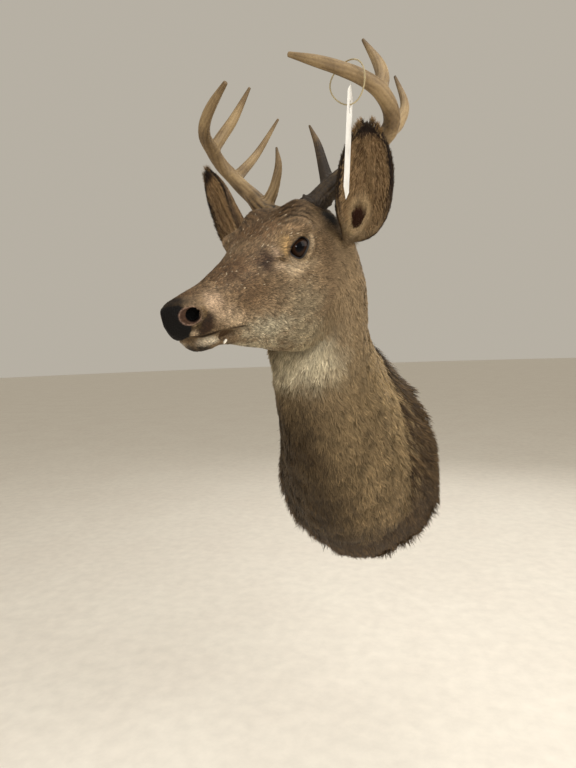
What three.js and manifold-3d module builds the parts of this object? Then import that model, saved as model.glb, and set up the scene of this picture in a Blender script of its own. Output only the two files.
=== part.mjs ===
// Deer shoulder mount: a white-tailed buck's head, neck and shoulders over a back board that hangs on a wall.
// Millimetres, +Z up. The wall is the plane y = 0, the mount stands out toward -Y and the deer's left is +X.
// The head is drawn in its own frame (x forward, y to the deer's left, z up, origin at the front of the nose).
import * as THREE from 'three';
import { mergeVertices } from 'three/addons/utils/BufferGeometryUtils.js';
import ManifoldModule from 'manifold-3d';

const wasm = await ManifoldModule();
wasm.setup();
const { Manifold, CrossSection } = wasm;

// ---------------------------------------------------------------- driving dimensions
const GAP = 0.3;              // clearance between neighbouring parts
const BOARD_THICK = 18;       // back board, front to back
const BOARD_INSET = 14;       // how far the board's edge lies inside the hide's edge
const HIDE_BACK = -(BOARD_THICK + GAP);

const NOSE_AT = [-124, -557, 263];   // front of the nose in the wall frame
const HEAD_TURN = 21.1;              // degrees toward the deer's right
const HEAD_DIP = 9.7;                // degrees, nose down
const HEAD_TILT = 0.9;               // degrees, left side up

const AROUND = 34;            // points round each section of the body
// how many lengths each pair of neighbouring sections is divided into, nose to wall
const RINGS_BETWEEN = [1, 1, 2, 2, 2, 2, 3, 3, 3, 3, 3, 3, 2, 2, 3, 4, 4, 3, 3];

const EYE_RADIUS = 17;
const EYE_AT = [-204, 51, 51.5];          // left eye, head frame

const EAR_HALF_WIDTH = 39.5;
const EAR_THICK = 6;
const EAR_WIDEST = 0.5;       // how far up the ear its widest level lies
const EAR_AXIS = {
  left: [[-286, 74, 52], [-284, 97, 78], [-279, 115, 114], [-271, 129, 154], [-266, 137, 188]],
  right: [[-276, 72, 52], [-267, 92, 88], [-260, 112, 127], [-257, 129, 165], [-257, 138, 189]],
};
// the way each ear's open side looks
const EAR_FACES = { left: [0.79, 0.43, -0.43], right: [0.9, 0.28, -0.36] };

// Sections of the head, nose to poll: top and bottom (x, z), half width, height of the widest
// level (0 at the bottom, 1 at the top) and the squareness of the upper and lower halves.
const HEAD_SECTIONS = [
  { name: 'nose front', top: [-6, -5], bottom: [-9, -29], half: 11, widest: 0.5, upper: 2.2, lower: 2.2 },
  { name: 'nose pad', top: [-8, 3.5], bottom: [-15, -37.5], half: 19, widest: 0.62, upper: 2.3, lower: 2.1 },
  { name: 'nostrils', top: [-14, 9], bottom: [-25, -44], half: 25, widest: 0.62, upper: 2.3, lower: 2.1 },
  { name: 'lips', top: [-24, 13.5], bottom: [-36, -53], half: 28, widest: 0.55, upper: 2.3, lower: 2.2 },
  { name: 'muzzle front', top: [-42, 19], bottom: [-52, -55], half: 29, widest: 0.5, upper: 2.3, lower: 2.2 },
  { name: 'muzzle', top: [-68, 27], bottom: [-75, -53], half: 29, widest: 0.5, upper: 2.3, lower: 2.2 },
  { name: 'mouth corner', top: [-95, 40], bottom: [-101, -57], half: 32, widest: 0.5, upper: 2.2, lower: 2.1 },
  { name: 'bridge', top: [-122, 54], bottom: [-128, -65], half: 38, widest: 0.52, upper: 2.2, lower: 2.1 },
  { name: 'cheek front', top: [-150, 70], bottom: [-156, -72], half: 47, widest: 0.58, upper: 2.4, lower: 2.1 },
  { name: 'tear pit', top: [-175, 84], bottom: [-182, -80], half: 55, widest: 0.66, upper: 2.7, lower: 2.1 },
  { name: 'eye', top: [-200, 97], bottom: [-207, -86], half: 62, widest: 0.72, upper: 3.0, lower: 2.0 },
  { name: 'forehead', top: [-230, 109], bottom: [-226, -89], half: 67, widest: 0.72, upper: 3.0, lower: 2.0 },
  { name: 'jaw angle', top: [-260, 116], bottom: [-240, -90], half: 69, widest: 0.68, upper: 2.8, lower: 2.0 },
  { name: 'poll', top: [-287, 114], bottom: [-247, -91], half: 72, widest: 0.68, upper: 2.5, lower: 2.0 },
];

// Sections of the neck and shoulders, poll to wall: nape and throat lines in the wall frame.
const NECK_SECTIONS = [
  { name: 'nape', top: [-21, -277, 402], bottom: [-30, -317, 205], half: 78, widest: 0.7, upper: 2.5, lower: 2.0 },
  { name: 'upper neck', top: [-16, -216, 373], bottom: [-25, -331, 148], half: 80, widest: 0.6, upper: 2.2, lower: 2.0 },
  { name: 'mid neck', top: [-14, -152, 332], bottom: [-21, -312, 62], half: 78, widest: 0.46, upper: 1.9, lower: 2.0 },
  { name: 'neck root', top: [-9, -96, 282], bottom: [-13, -250, -40], half: 97, widest: 0.38, upper: 1.65, lower: 1.95 },
  { name: 'shoulder', top: [-4, -52, 238], bottom: [-7, -150, -132], half: 130, widest: 0.38, upper: 1.75, lower: 1.85 },
  { name: 'hide edge', top: [-2, HIDE_BACK, 205], bottom: [-4, HIDE_BACK, -207], half: 160, widest: 0.4, upper: 1.95, lower: 1.8 },
];

// Raised and sunk forms of the head: centre in the head frame (left side, mirrored), size and height.
const HEAD_FORMS = [
  { name: 'brow', at: [-195, 60, 73], size: [22, 19, 14], height: 17 },
  { name: 'orbit', at: [-181, 64, 68], size: [14, 14, 13], height: 9 },
  { name: 'crown', at: [-227, 36, 104], size: [26, 22, 18], height: 11 },
  { name: 'eye socket', at: [-191, 62, 48], size: [16, 18, 14], height: -15 },
  { name: 'tear pit', at: [-166, 46, 35], size: [10, 12, 7], height: -3.5 },
  { name: 'cheek', at: [-205, 52, -35], size: [34, 26, 30], height: 4 },
  { name: 'cheek hollow', at: [-135, 40, -2], size: [26, 18, 22], height: -4 },
  { name: 'nostril', at: [-17, 24, -8], size: [6, 8, 6], height: -3.5 },
  { name: 'lip notch', at: [-25, 0, -45], size: [7, 26, 10], height: -9 },
];

// Main beam of the left antler: axis points in the head frame, and its radius at each.
const BEAM = [
  { at: [-264, 22, 93], radius: 15.5 },
  { at: [-269, 37, 106], radius: 15.5 },
  { at: [-279, 59, 124], radius: 15 },
  { at: [-296, 87, 145], radius: 13 },
  { at: [-312, 119, 167], radius: 12.5 },
  { at: [-320, 143, 189], radius: 12 },
  { at: [-308, 152, 209], radius: 11.5 },
  { at: [-288, 149, 230], radius: 11 },
  { at: [-265, 138, 245], radius: 10 },
  { at: [-249, 118, 259], radius: 9 },
  { at: [-240, 90, 275], radius: 7.5 },
  { at: [-235, 55, 293], radius: 3.8 },
];
const BEAM_FORKS = { brow: 2.1, second: 4.9, third: 7.1 };   // places along the beam, in steps of its points

const TINES = {
  brow_left: [
    { at: [-284, 60, 126], radius: 12 },
    { at: [-290, 52, 152], radius: 9 },
    { at: [-297, 42, 190], radius: 6 },
    { at: [-299, 31, 220], radius: 2 },
  ],
  brow_right: [
    { at: [-284, 54, 126], radius: 11 },
    { at: [-286, 37, 148], radius: 8 },
    { at: [-287, 24, 176], radius: 6 },
    { at: [-292, 26, 204], radius: 2 },
  ],
  second: [
    { at: [-319, 140, 184], radius: 10.5 },
    { at: [-350, 143, 200], radius: 9 },
    { at: [-390, 136, 231], radius: 6.5 },
    { at: [-425, 110, 281], radius: 2.4 },
  ],
  third: [
    { at: [-290, 149, 229], radius: 10 },
    { at: [-312, 144, 251], radius: 9.5 },
    { at: [-332, 130, 277], radius: 8 },
    { at: [-350, 103, 318], radius: 2.6 },
  ],
};
const BURR_RADIUS = 20.5;

const HANGER = [70, 1.6, 14];        // steel strip: width, thickness, height
const HANGER_HEIGHT = 120;
const HANGER_SUNK = 1.2;
const HANGER_TEETH = 12;
const HANGER_TOOTH = 3;

const TAG_SIZE = [24, 143, 0.6];     // card slip: width, length, thickness
const TAG_POINT = 12;                // length of its pointed ends
const TAG_SLOT = [5, 16];
const TAG_AT = [65.5, -405.4, 514.5];  // middle of the slot
const TAG_BELOW = 114;               // slip's length below the middle of the slot
const TAG_UP = [0.066, 0.114, 0.991];
const TAG_ACROSS = [0.07, 0.995, -0.06];

const TIE_AT = [63, -405, 544.5];
const TIE_SIZE = [20.5, 26.5];         // half width and half height of the loop
const TIE_RADIUS = 1;
const TIE_RIGHT = [0.96, 0.277, -0.035];
const TIE_NEAR = [0.279, -0.959, 0.058];
const TIE_SWING = 12;                // how far its right side stands before its left
const TIE_TWIST = 6;

const SPIKE = [
  { at: [-266, 38, 106], radius: 6 },
  { at: [-258, 32, 124], radius: 1.8 },
];

// ---------------------------------------------------------------- small vector helpers
const rad = (degrees) => (degrees * Math.PI) / 180;
const v3 = (a) => new THREE.Vector3(a[0], a[1], a[2]);
const mix = (a, b, t) => a + (b - a) * t;
const clamp01 = (t) => Math.min(1, Math.max(0, t));
const smooth = (t) => clamp01(t) * clamp01(t) * (3 - 2 * clamp01(t));

/** Catmull-Rom value of a list at a fractional place. */
function curve(list, place) {
  const last = list.length - 1;
  const i = Math.min(last - 1, Math.max(0, Math.floor(place)));
  const t = place - i;
  const p1 = list[i];
  const p2 = list[i + 1];
  const p0 = i > 0 ? list[i - 1] : 2 * p1 - p2;
  const p3 = i + 2 <= last ? list[i + 2] : 2 * p2 - p1;
  const a = 2 * p1;
  const b = p2 - p0;
  const c = 2 * p0 - 5 * p1 + 4 * p2 - p3;
  const d = -p0 + 3 * p1 - 3 * p2 + p3;
  return 0.5 * (a + b * t + c * t * t + d * t * t * t);
}

const curve3 = (points, place) => new THREE.Vector3(
  curve(points.map((p) => p.x), place),
  curve(points.map((p) => p.y), place),
  curve(points.map((p) => p.z), place),
);

/** Head frame, as columns forward, left, up, and its origin at the nose. */
function headMatrix() {
  const turn = rad(HEAD_TURN);
  const dip = rad(HEAD_DIP);
  const forward = new THREE.Vector3(-Math.sin(turn) * Math.cos(dip), -Math.cos(turn) * Math.cos(dip), -Math.sin(dip));
  const left = new THREE.Vector3(Math.cos(turn), -Math.sin(turn), 0).applyAxisAngle(forward, rad(HEAD_TILT));
  const up = new THREE.Vector3().crossVectors(forward, left);
  return new THREE.Matrix4().makeBasis(forward, left, up).setPosition(v3(NOSE_AT));
}
const HEAD = headMatrix();
const HEAD_BACK = HEAD.clone().invert();
const fromHead = (p) => (p.isVector3 ? p.clone() : v3(p)).applyMatrix4(HEAD);

// ---------------------------------------------------------------- solids
/** Manifold solid from rings of equal length, capped at both ends, or closed on itself if no cap is given. */
function loft(rings, cap = null) {
  const n = rings[0].length;
  const count = rings.length;
  const positions = rings.flat().flatMap((p) => [p.x, p.y, p.z]);
  const faces = [];
  for (let r = 0; r < (cap ? count - 1 : count); r += 1) {
    const next = ((r + 1) % count) * n;
    for (let k = 0; k < n; k += 1) {
      const l = (k + 1) % n;
      faces.push([r * n + k, r * n + l, next + l], [r * n + k, next + l, next + k]);
    }
  }
  const lastRing = (count - 1) * n;
  for (const [i, j, k] of cap ? cap(n) : []) {
    faces.push([k, j, i], [lastRing + i, lastRing + j, lastRing + k]);
  }
  return solid(positions, faces);
}

/** Cap of a convex ring: a strip across it, from the first point to the one opposite. */
function convexCap(n) {
  const faces = [];
  for (let i = 0; i < n / 2 - 1; i += 1) {
    const a = i;
    const b = i + 1;
    const c = n - 1 - i;
    const d = (n - i) % n;
    if (i > 0) {
      faces.push([a, b, d]);
      faces.push([b, c, d]);
    } else {
      faces.push([a, b, c]);
    }
  }
  faces.push([n / 2 - 1, n / 2, n / 2 + 1]);
  return faces;
}

/** Cap of a ring that runs out along one side of a strip and back along the other. */
function stripCap(n) {
  const faces = [];
  for (let i = 0; i < n / 2 - 1; i += 1) {
    faces.push([i, i + 1, n - 2 - i]);
    faces.push([i, n - 2 - i, n - 1 - i]);
  }
  return faces;
}

/** Manifold solid from positions and faces, turned right side out. */
function solid(positions, faces) {
  const make = (list) => new Manifold(new wasm.Mesh({
    numProp: 3,
    vertProperties: new Float32Array(positions),
    triVerts: new Uint32Array(list.flat()),
  }));
  const made = make(faces);
  return made.volume() > 0 ? made : make(faces.map(([a, b, c]) => [a, c, b]));
}

/** Round tube along a list of axis points with radii, from one place to another. */
function tube(points, { from = 0, to = points.length - 1, steps = 8, sides = 10, grow = 0 } = {}) {
  const axis = points.map((p) => fromHead(p.at));
  const radii = points.map((p) => p.radius);
  const rings = [];
  let side = null;
  for (let i = 0; i <= steps; i += 1) {
    const place = mix(from, to, i / steps);
    const centre = curve3(axis, place);
    const ahead = curve3(axis, place + 0.01).sub(curve3(axis, place - 0.01)).normalize();
    side = side ?? new THREE.Vector3(0.3, 0.2, 1).cross(ahead).normalize();
    side = side.clone().addScaledVector(ahead, -side.dot(ahead)).normalize();
    const other = new THREE.Vector3().crossVectors(ahead, side);
    const radius = curve(radii, place) + grow;
    rings.push(Array.from({ length: sides }, (_, k) => {
      const angle = (2 * Math.PI * k) / sides;
      return centre.clone().addScaledVector(side, radius * Math.cos(angle)).addScaledVector(other, radius * Math.sin(angle));
    }));
  }
  return loft(rings, convexCap);
}

/** The other side's twin of a solid, mirrored in the head's middle plane. */
function mirrored(part) {
  const flip = new THREE.Matrix4().makeScale(1, -1, 1);
  const m = HEAD.clone().multiply(flip).multiply(HEAD_BACK).elements;
  return part.transform(m);
}

/** A big block that fills the side of a plane its normal points to. */
function halfSpace(point, normal) {
  const block = Manifold.cube([2000, 2000, 2000], true).translate([0, 0, 1000]);
  const turn = new THREE.Quaternion().setFromUnitVectors(new THREE.Vector3(0, 0, 1), normal.clone().normalize());
  const m = new THREE.Matrix4().makeRotationFromQuaternion(turn).setPosition(point);
  return block.transform(m.elements);
}

// ---------------------------------------------------------------- the body, nose to wall
const SECTIONS = [
  ...HEAD_SECTIONS.map((s) => ({
    ...s,
    top: fromHead([s.top[0], 0, s.top[1]]),
    bottom: fromHead([s.bottom[0], 0, s.bottom[1]]),
  })),
  ...NECK_SECTIONS.map((s) => ({ ...s, top: v3(s.top), bottom: v3(s.bottom) })),
];
const TOPS = SECTIONS.map((s) => s.top);
const BOTTOMS = SECTIONS.map((s) => s.bottom);

/** Height of the head's raised and sunk forms at a point of the wall frame. */
function headForm(point) {
  const p = point.clone().applyMatrix4(HEAD_BACK);
  return HEAD_FORMS.reduce((sum, form) => {
    const dx = (p.x - form.at[0]) / form.size[0];
    const dy = (Math.abs(p.y) - form.at[1]) / form.size[1];
    const dz = (p.z - form.at[2]) / form.size[2];
    return sum + form.height * Math.exp(-(dx * dx + dy * dy + dz * dz));
  }, 0);
}

/** One section of the body at a place along the list of sections. */
function bodyRing(place) {
  const top = curve3(TOPS, place);
  const bottom = curve3(BOTTOMS, place);
  const at = (key) => curve(SECTIONS.map((s) => s[key]), place);
  const upright = top.clone().sub(bottom);
  const height = upright.length();
  upright.normalize();
  const along = place < SECTIONS.length - 1
    ? curve3(TOPS, place + 0.02).add(curve3(BOTTOMS, place + 0.02))
      .sub(curve3(TOPS, place - 0.02)).sub(curve3(BOTTOMS, place - 0.02))
    : new THREE.Vector3(0, 1, 0);
  const side = new THREE.Vector3().crossVectors(upright, along).normalize();
  const widest = at('widest');
  const centre = bottom.clone().addScaledVector(upright, widest * height);
  return Array.from({ length: AROUND }, (_, k) => {
    const angle = (2 * Math.PI * k) / AROUND;
    const c = Math.cos(angle);
    const s = Math.sin(angle);
    const squareness = s > 0 ? at('upper') : at('lower');
    const across = Math.sign(c) * Math.abs(c) ** (2 / squareness) * at('half');
    const reach = (s > 0 ? 1 - widest : widest) * height;
    const rise = Math.sign(s) * Math.abs(s) ** (2 / squareness) * reach;
    const point = centre.clone().addScaledVector(side, across).addScaledVector(upright, rise);
    const out = side.clone().multiplyScalar(c).addScaledVector(upright, s);
    return point.addScaledVector(out, headForm(point));
  });
}

/** Whole body from nose to hide edge. */
function body() {
  const places = [0];
  RINGS_BETWEEN.forEach((count, section) => {
    for (let i = 1; i <= count; i += 1) {
      places.push(section + i / count);
    }
  });
  return loft(places.map(bodyRing), convexCap);
}

// ---------------------------------------------------------------- ears
/** Cupped leaf of an ear, root to tip, drawn on the left side. */
function ear(side) {
  const axis = EAR_AXIS[side].map(v3);
  const last = axis.length - 1;
  const rings = [];
  const steps = 13;
  const across = 8;
  for (let i = 0; i <= steps; i += 1) {
    const u = 1 - (1 - i / steps) ** 1.25;
    const centre = curve3(axis, last * u);
    const along = curve3(axis, last * u + 0.01).sub(curve3(axis, last * u - 0.01)).normalize();
    const open = v3(EAR_FACES[side]);
    open.addScaledVector(along, -open.dot(along)).normalize();
    const sideways = new THREE.Vector3().crossVectors(along, open);
    const reach = u > EAR_WIDEST ? 1.01 - EAR_WIDEST : 0.6;
    const leaf = Math.max(0.04, 1 - (Math.abs(u - EAR_WIDEST) / reach) ** 2.2);
    const half = EAR_HALF_WIDTH * leaf ** (u > EAR_WIDEST ? 0.72 : 1.8);
    const curl = rad(mix(112, 52, smooth(u / 0.7)));
    const radius = half / Math.sin(Math.min(curl, Math.PI / 2));
    const thick = EAR_THICK * mix(1, 0.55, u);
    const arc = (r, k) => {
      const angle = curl * (2 * (k / across) - 1);
      return centre.clone().addScaledVector(sideways, r * Math.sin(angle))
        .addScaledVector(open, radius * 0.7 - r * Math.cos(angle));
    };
    const outer = Array.from({ length: across + 1 }, (_, k) => arc(radius, k));
    const inner = Array.from({ length: across + 1 }, (_, k) => arc(radius - thick, across - k));
    rings.push([...outer, ...inner].map(fromHead));
  }
  return loft(rings, stripCap);
}

// ---------------------------------------------------------------- antlers
/** Parts of an antler: lengths of the main beam between forks, and its tines, drawn on the left side. */
function antler(side) {
  const half = 0.011;
  const cuts = [BEAM_FORKS.brow + 0.55, BEAM_FORKS.second + 0.45, BEAM_FORKS.third + 0.5];
  const lengths = [
    [0, cuts[0] - half, 6],
    [cuts[0] + half, cuts[1] - half, 6],
    [cuts[1] + half, cuts[2] - half, 5],
    [cuts[2] + half, BEAM.length - 1, 8],
  ];
  const beam = (grow) => lengths.map(([from, to, steps]) => tube(BEAM, { from, to, steps, sides: 10, grow }));
  const burr = tube([
    { at: [-267, 31, 100], radius: 16.5 },
    { at: [-268, 34, 103], radius: BURR_RADIUS },
    { at: [-269.5, 38, 107], radius: BURR_RADIUS - 1 },
    { at: [-271.5, 42, 111], radius: 16.5 },
  ], { steps: 5, sides: 14 });
  const [base, lower, upper, tip] = beam(0);
  const grown = Manifold.union(beam(GAP * 1.3));
  const tine = (points) => tube(points, { steps: 6, sides: 8 }).subtract(grown);
  return {
    base: base.add(burr),
    beam_lower: lower,
    beam_upper: upper,
    beam_tip: tip,
    brow_tine: tine(TINES[`brow_${side}`]),
    second_tine: tine(TINES.second),
    third_tine: tine(TINES.third),
  };
}

// ---------------------------------------------------------------- group
const group = new THREE.Group();
group.name = 'deer_shoulder_mount';

const FINISH = {
  coat: { color: 0x8a7660, roughness: 0.9 },
  dark_coat: { color: 0x4a3a2c, roughness: 0.9 },
  nose: { color: 0x181413, roughness: 0.5 },
  eye: { color: 0x120c08, roughness: 0.08 },
  antler: { color: 0x9a7a55, roughness: 0.6 },
  card: { color: 0xe8e6df, roughness: 0.8 },
  wood: { color: 0xb08a5a, roughness: 0.7 },
  plastic: { color: 0xd9d4c4, roughness: 0.4 },
  steel: { color: 0xa8a8a8, roughness: 0.4, metalness: 1 },
};

/** Adds a solid to the group as one named mesh. */
function addPart(name, part, finish) {
  const pieces = part.decompose().sort((a, b) => b.volume() - a.volume());
  const mesh = pieces[0].getMesh();
  const geometry = new THREE.BufferGeometry();
  geometry.setAttribute('position', new THREE.BufferAttribute(new Float32Array(mesh.vertProperties), 3));
  geometry.setIndex(Array.from(mesh.triVerts));
  const made = new THREE.Mesh(mergeVertices(geometry, 1e-4), new THREE.MeshStandardMaterial(FINISH[finish]));
  made.name = name;
  group.add(made);
}

const whole = body();
const shifts = [[1, 0, 0], [-1, 0, 0], [0, 1, 0], [0, -1, 0], [0, 0, 1], [0, 0, -1]];
const around = Manifold.union(shifts.map((d) => whole.translate(d.map((v) => v * GAP * 1.5))));
const forward = new THREE.Vector3(1, 0, 0).transformDirection(HEAD);
const eyeball = (grow) => {
  const at = fromHead(EYE_AT);
  return Manifold.sphere(EYE_RADIUS + grow, 16).translate([at.x, at.y, at.z]);
};
const sockets = eyeball(GAP).add(mirrored(eyeball(GAP)));

/** Body between two cutting planes, each given by a point and the way toward the nose. */
function between(front, back) {
  let part = whole;
  if (front) {
    part = part.subtract(halfSpace(front.point.clone().addScaledVector(front.normal, -GAP / 2), front.normal));
  }
  if (back) {
    part = part.intersect(halfSpace(back.point.clone().addScaledVector(back.normal, GAP / 2), back.normal));
  }
  return part;
}

const noseCut = { point: fromHead([-11, 0, 0]), normal: new THREE.Vector3(1, 0, -0.35).transformDirection(HEAD) };
const muzzleCut = { point: fromHead([-118, 0, 0]), normal: forward };
const sectionCut = (name) => {
  const i = SECTIONS.findIndex((s) => s.name === name);
  const before = TOPS[i - 1].clone().add(BOTTOMS[i - 1]);
  const after = TOPS[i + 1].clone().add(BOTTOMS[i + 1]);
  const upright = TOPS[i].clone().sub(BOTTOMS[i]);
  const toward = before.sub(after);
  const normal = toward.addScaledVector(upright, -toward.dot(upright) / upright.lengthSq()).normalize();
  return { point: TOPS[i].clone().add(BOTTOMS[i]).multiplyScalar(0.5), normal };
};
const neckCut = sectionCut('nape');
const shoulderCut = sectionCut('neck root');

// The closed mouth parts the lower jaw from the muzzle.
const mouthUp = new THREE.Vector3(-0.12, 0, 1).transformDirection(HEAD);
const mouth = fromHead([-10, 0, -37]);
const snout = between(noseCut, muzzleCut);
addPart('nose', between(null, noseCut), 'nose');
addPart('muzzle', snout.intersect(halfSpace(mouth.clone().addScaledVector(mouthUp, GAP / 2), mouthUp)), 'coat');
addPart('lower_jaw', snout.subtract(halfSpace(mouth.clone().addScaledVector(mouthUp, -GAP / 2), mouthUp)), 'coat');
addPart('head', between(muzzleCut, neckCut).subtract(sockets), 'coat');
addPart('neck', between(neckCut, shoulderCut), 'coat');
addPart('shoulders', between(shoulderCut, null), 'dark_coat');

addPart('eye_left', eyeball(0), 'eye');
addPart('eye_right', mirrored(eyeball(0)), 'eye');

addPart('ear_left', ear('left').subtract(around), 'coat');
addPart('ear_right', mirrored(ear('right')).subtract(around), 'coat');

const spike = tube(SPIKE, { steps: 3, sides: 8 });
for (const [name, part] of Object.entries(antler('left'))) {
  addPart(`antler_left_${name}`, name === 'base' ? part.add(spike).subtract(around) : part, 'antler');
}
for (const [name, part] of Object.entries(antler('right'))) {
  addPart(`antler_right_${name}`, name === 'base' ? mirrored(part).subtract(around) : mirrored(part), 'antler');
}

// Back board: the hide's outline drawn in, and extruded forward from the wall.
const hideEdge = bodyRing(SECTIONS.length - 1);
const outline = CrossSection.ofPolygons([hideEdge.map((p) => [p.x, p.z]).reverse()]);
const inset = outline.offset(-BOARD_INSET, 'Round', 2, 32);
const recess = Manifold.cube([HANGER[0] + 2 * GAP, 2 * (HANGER[1] + HANGER_SUNK), HANGER[2] + 2 * GAP], true)
  .translate([0, 0, HANGER_HEIGHT]);
const board = Manifold.extrude(inset, BOARD_THICK).rotate([90, 0, 0]).subtract(recess);
addPart('back_board', board, 'wood');

// Steel hanger strip, its lower edge toothed, sunk in a recess of the board's back.
const teeth = Array.from({ length: HANGER_TEETH * 2 + 1 }, (_, k) => [
  mix(-HANGER[0] / 2, HANGER[0] / 2, k / (HANGER_TEETH * 2)),
  k % 2 ? -HANGER[2] / 2 + HANGER_TOOTH : -HANGER[2] / 2,
]);
const strip = CrossSection.ofPolygons([[...teeth, [HANGER[0] / 2, HANGER[2] / 2], [-HANGER[0] / 2, HANGER[2] / 2]]]);
const hanger = Manifold.extrude(strip, HANGER[1]).rotate([90, 0, 0]).translate([0, -HANGER_SUNK + GAP, HANGER_HEIGHT]);
addPart('hanger', hanger, 'steel');

// Card slip on a thin plastic tie looped over the left beam.
const across = v3(TAG_ACROSS).normalize();
const upward = v3(TAG_UP);
upward.addScaledVector(across, -upward.dot(across)).normalize();
const face = new THREE.Vector3().crossVectors(across, upward);
const [wide, tall, thick] = TAG_SIZE;
const below = TAG_BELOW;
const slipShape = CrossSection.ofPolygons([[
  [-wide / 2, TAG_POINT - below], [0, -below], [wide / 2, TAG_POINT - below],
  [wide / 2, tall - below - TAG_POINT], [0, tall - below], [-wide / 2, tall - below - TAG_POINT],
]]).subtract(CrossSection.square(TAG_SLOT, true));
const slip = Manifold.extrude(slipShape, thick).translate([0, 0, -thick / 2])
  .transform(new THREE.Matrix4().makeBasis(across, upward, face).setPosition(v3(TAG_AT)).elements);
addPart('tag_slip', slip, 'card');

const tieSteps = 28;
const tieSides = 5;
const tieRings = Array.from({ length: tieSteps }, (_, i) => {
  const at = (k) => {
    const angle = (2 * Math.PI * k) / tieSteps;
    return v3(TIE_AT).addScaledVector(v3(TIE_RIGHT), TIE_SIZE[0] * Math.cos(angle))
      .addScaledVector(v3(TIE_NEAR), TIE_SWING * Math.cos(angle) + TIE_TWIST * Math.sin(2 * angle))
      .add(new THREE.Vector3(0, 0, TIE_SIZE[1] * Math.sin(angle)));
  };
  const ahead = at(i + 0.1).sub(at(i - 0.1)).normalize();
  const first = v3(TIE_NEAR).addScaledVector(ahead, -v3(TIE_NEAR).dot(ahead)).normalize();
  const second = new THREE.Vector3().crossVectors(ahead, first);
  return Array.from({ length: tieSides }, (__, k) => {
    const angle = (2 * Math.PI * k) / tieSides;
    return at(i).addScaledVector(first, TIE_RADIUS * Math.cos(angle)).addScaledVector(second, TIE_RADIUS * Math.sin(angle));
  });
});
addPart('tag_tie', loft(tieRings), 'plastic');

export default group;
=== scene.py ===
import logging
import math
from dataclasses import dataclass, field, fields
from enum import Enum
from typing import Any

import bpy
import numpy as np
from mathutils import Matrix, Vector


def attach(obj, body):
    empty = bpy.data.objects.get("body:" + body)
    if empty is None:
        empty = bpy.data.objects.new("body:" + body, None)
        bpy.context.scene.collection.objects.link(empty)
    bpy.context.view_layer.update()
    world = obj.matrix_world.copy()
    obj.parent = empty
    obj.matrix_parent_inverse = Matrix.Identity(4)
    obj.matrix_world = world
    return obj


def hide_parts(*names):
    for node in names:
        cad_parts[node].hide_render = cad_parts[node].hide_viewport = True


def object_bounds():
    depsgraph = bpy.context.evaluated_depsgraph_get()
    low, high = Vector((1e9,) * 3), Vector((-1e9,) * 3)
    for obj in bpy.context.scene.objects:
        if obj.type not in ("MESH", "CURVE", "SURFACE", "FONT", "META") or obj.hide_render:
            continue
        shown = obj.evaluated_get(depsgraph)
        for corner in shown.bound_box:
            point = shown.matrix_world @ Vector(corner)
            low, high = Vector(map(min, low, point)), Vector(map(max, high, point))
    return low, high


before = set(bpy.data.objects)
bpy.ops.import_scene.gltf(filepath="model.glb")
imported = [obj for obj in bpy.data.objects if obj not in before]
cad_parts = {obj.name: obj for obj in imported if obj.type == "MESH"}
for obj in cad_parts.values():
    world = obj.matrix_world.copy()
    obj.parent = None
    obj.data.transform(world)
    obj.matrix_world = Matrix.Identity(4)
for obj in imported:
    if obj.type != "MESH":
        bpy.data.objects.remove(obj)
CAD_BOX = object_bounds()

import openvdb as vdb
from mathutils import Matrix, Vector

# Deer shoulder mount: a buck's head, neck and shoulders in their coat, antlers, glass eyes, back board and tag.
# Shapes are worked out in millimetres in the wall frame and become metres when a mesh is made.
# The head is drawn in its own frame: x forward, y to the deer's left, z up, from the front of the nose.

Array = np.ndarray
Colour = tuple[int, int, int]
Point = tuple[float, float, float]
Stops = tuple[tuple[float, float], ...]
MM = 0.001
LOG = logging.getLogger("deer_mount")
SEED = 7


# ---------------------------------------------------------------- numbers
def unit(v: Array) -> Array:
    """Vectors of length one: each divided by its own length."""
    return v / np.maximum(np.linalg.norm(v, axis=-1, keepdims=True), 1e-9)


def ease(t: Array) -> Array:
    """Smooth step: 3t^2 - 2t^3 of t held between 0 and 1."""
    t = np.clip(t, 0.0, 1.0)
    return t * t * (3.0 - 2.0 * t)


def blend(a: Array, b: Array, t: Array) -> Array:
    """Value between a and b: a + (b - a) t."""
    return a + (b - a) * t


def dot(a: Array, b: Array) -> Array:
    """Dot product over the last axis, which is kept."""
    return (a * b).sum(-1, keepdims=True)


def square_to(way: Array, axis: Array) -> Array:
    """Unit ways at right angles to an axis: each way less its part along the axis."""
    return unit(way - axis * dot(way, axis))


def swing(way: Array, axis: Array, angle: Array) -> Array:
    """Ways turned about axes square to them: way times cos plus the cross product of axis and way times sin."""
    return way * np.cos(angle)[:, None] + np.cross(axis, way) * np.sin(angle)[:, None]


def stepped(place: Array, stops: Stops) -> Array:
    """Value at places between stops of place and value, straight from each stop to the next."""
    return np.interp(place, *np.array(stops, float).T)


def left_side(p: Array) -> Array:
    """Points of the head frame moved to its left side: y made positive.

    Args:
        p: points of the head frame.

    Returns:
        The moved points, in an array of their own.
    """
    q = np.array(p, float)
    q[..., 1] = np.abs(q[..., 1])
    return q


def bell(p: Array, at: Point, size: Point) -> Array:
    """Bell round a point: exp of minus the sum of squares of the distance over the size, axis by axis."""
    return np.exp(-(((p - np.array(at)) / np.array(size)) ** 2).sum(-1))


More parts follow.
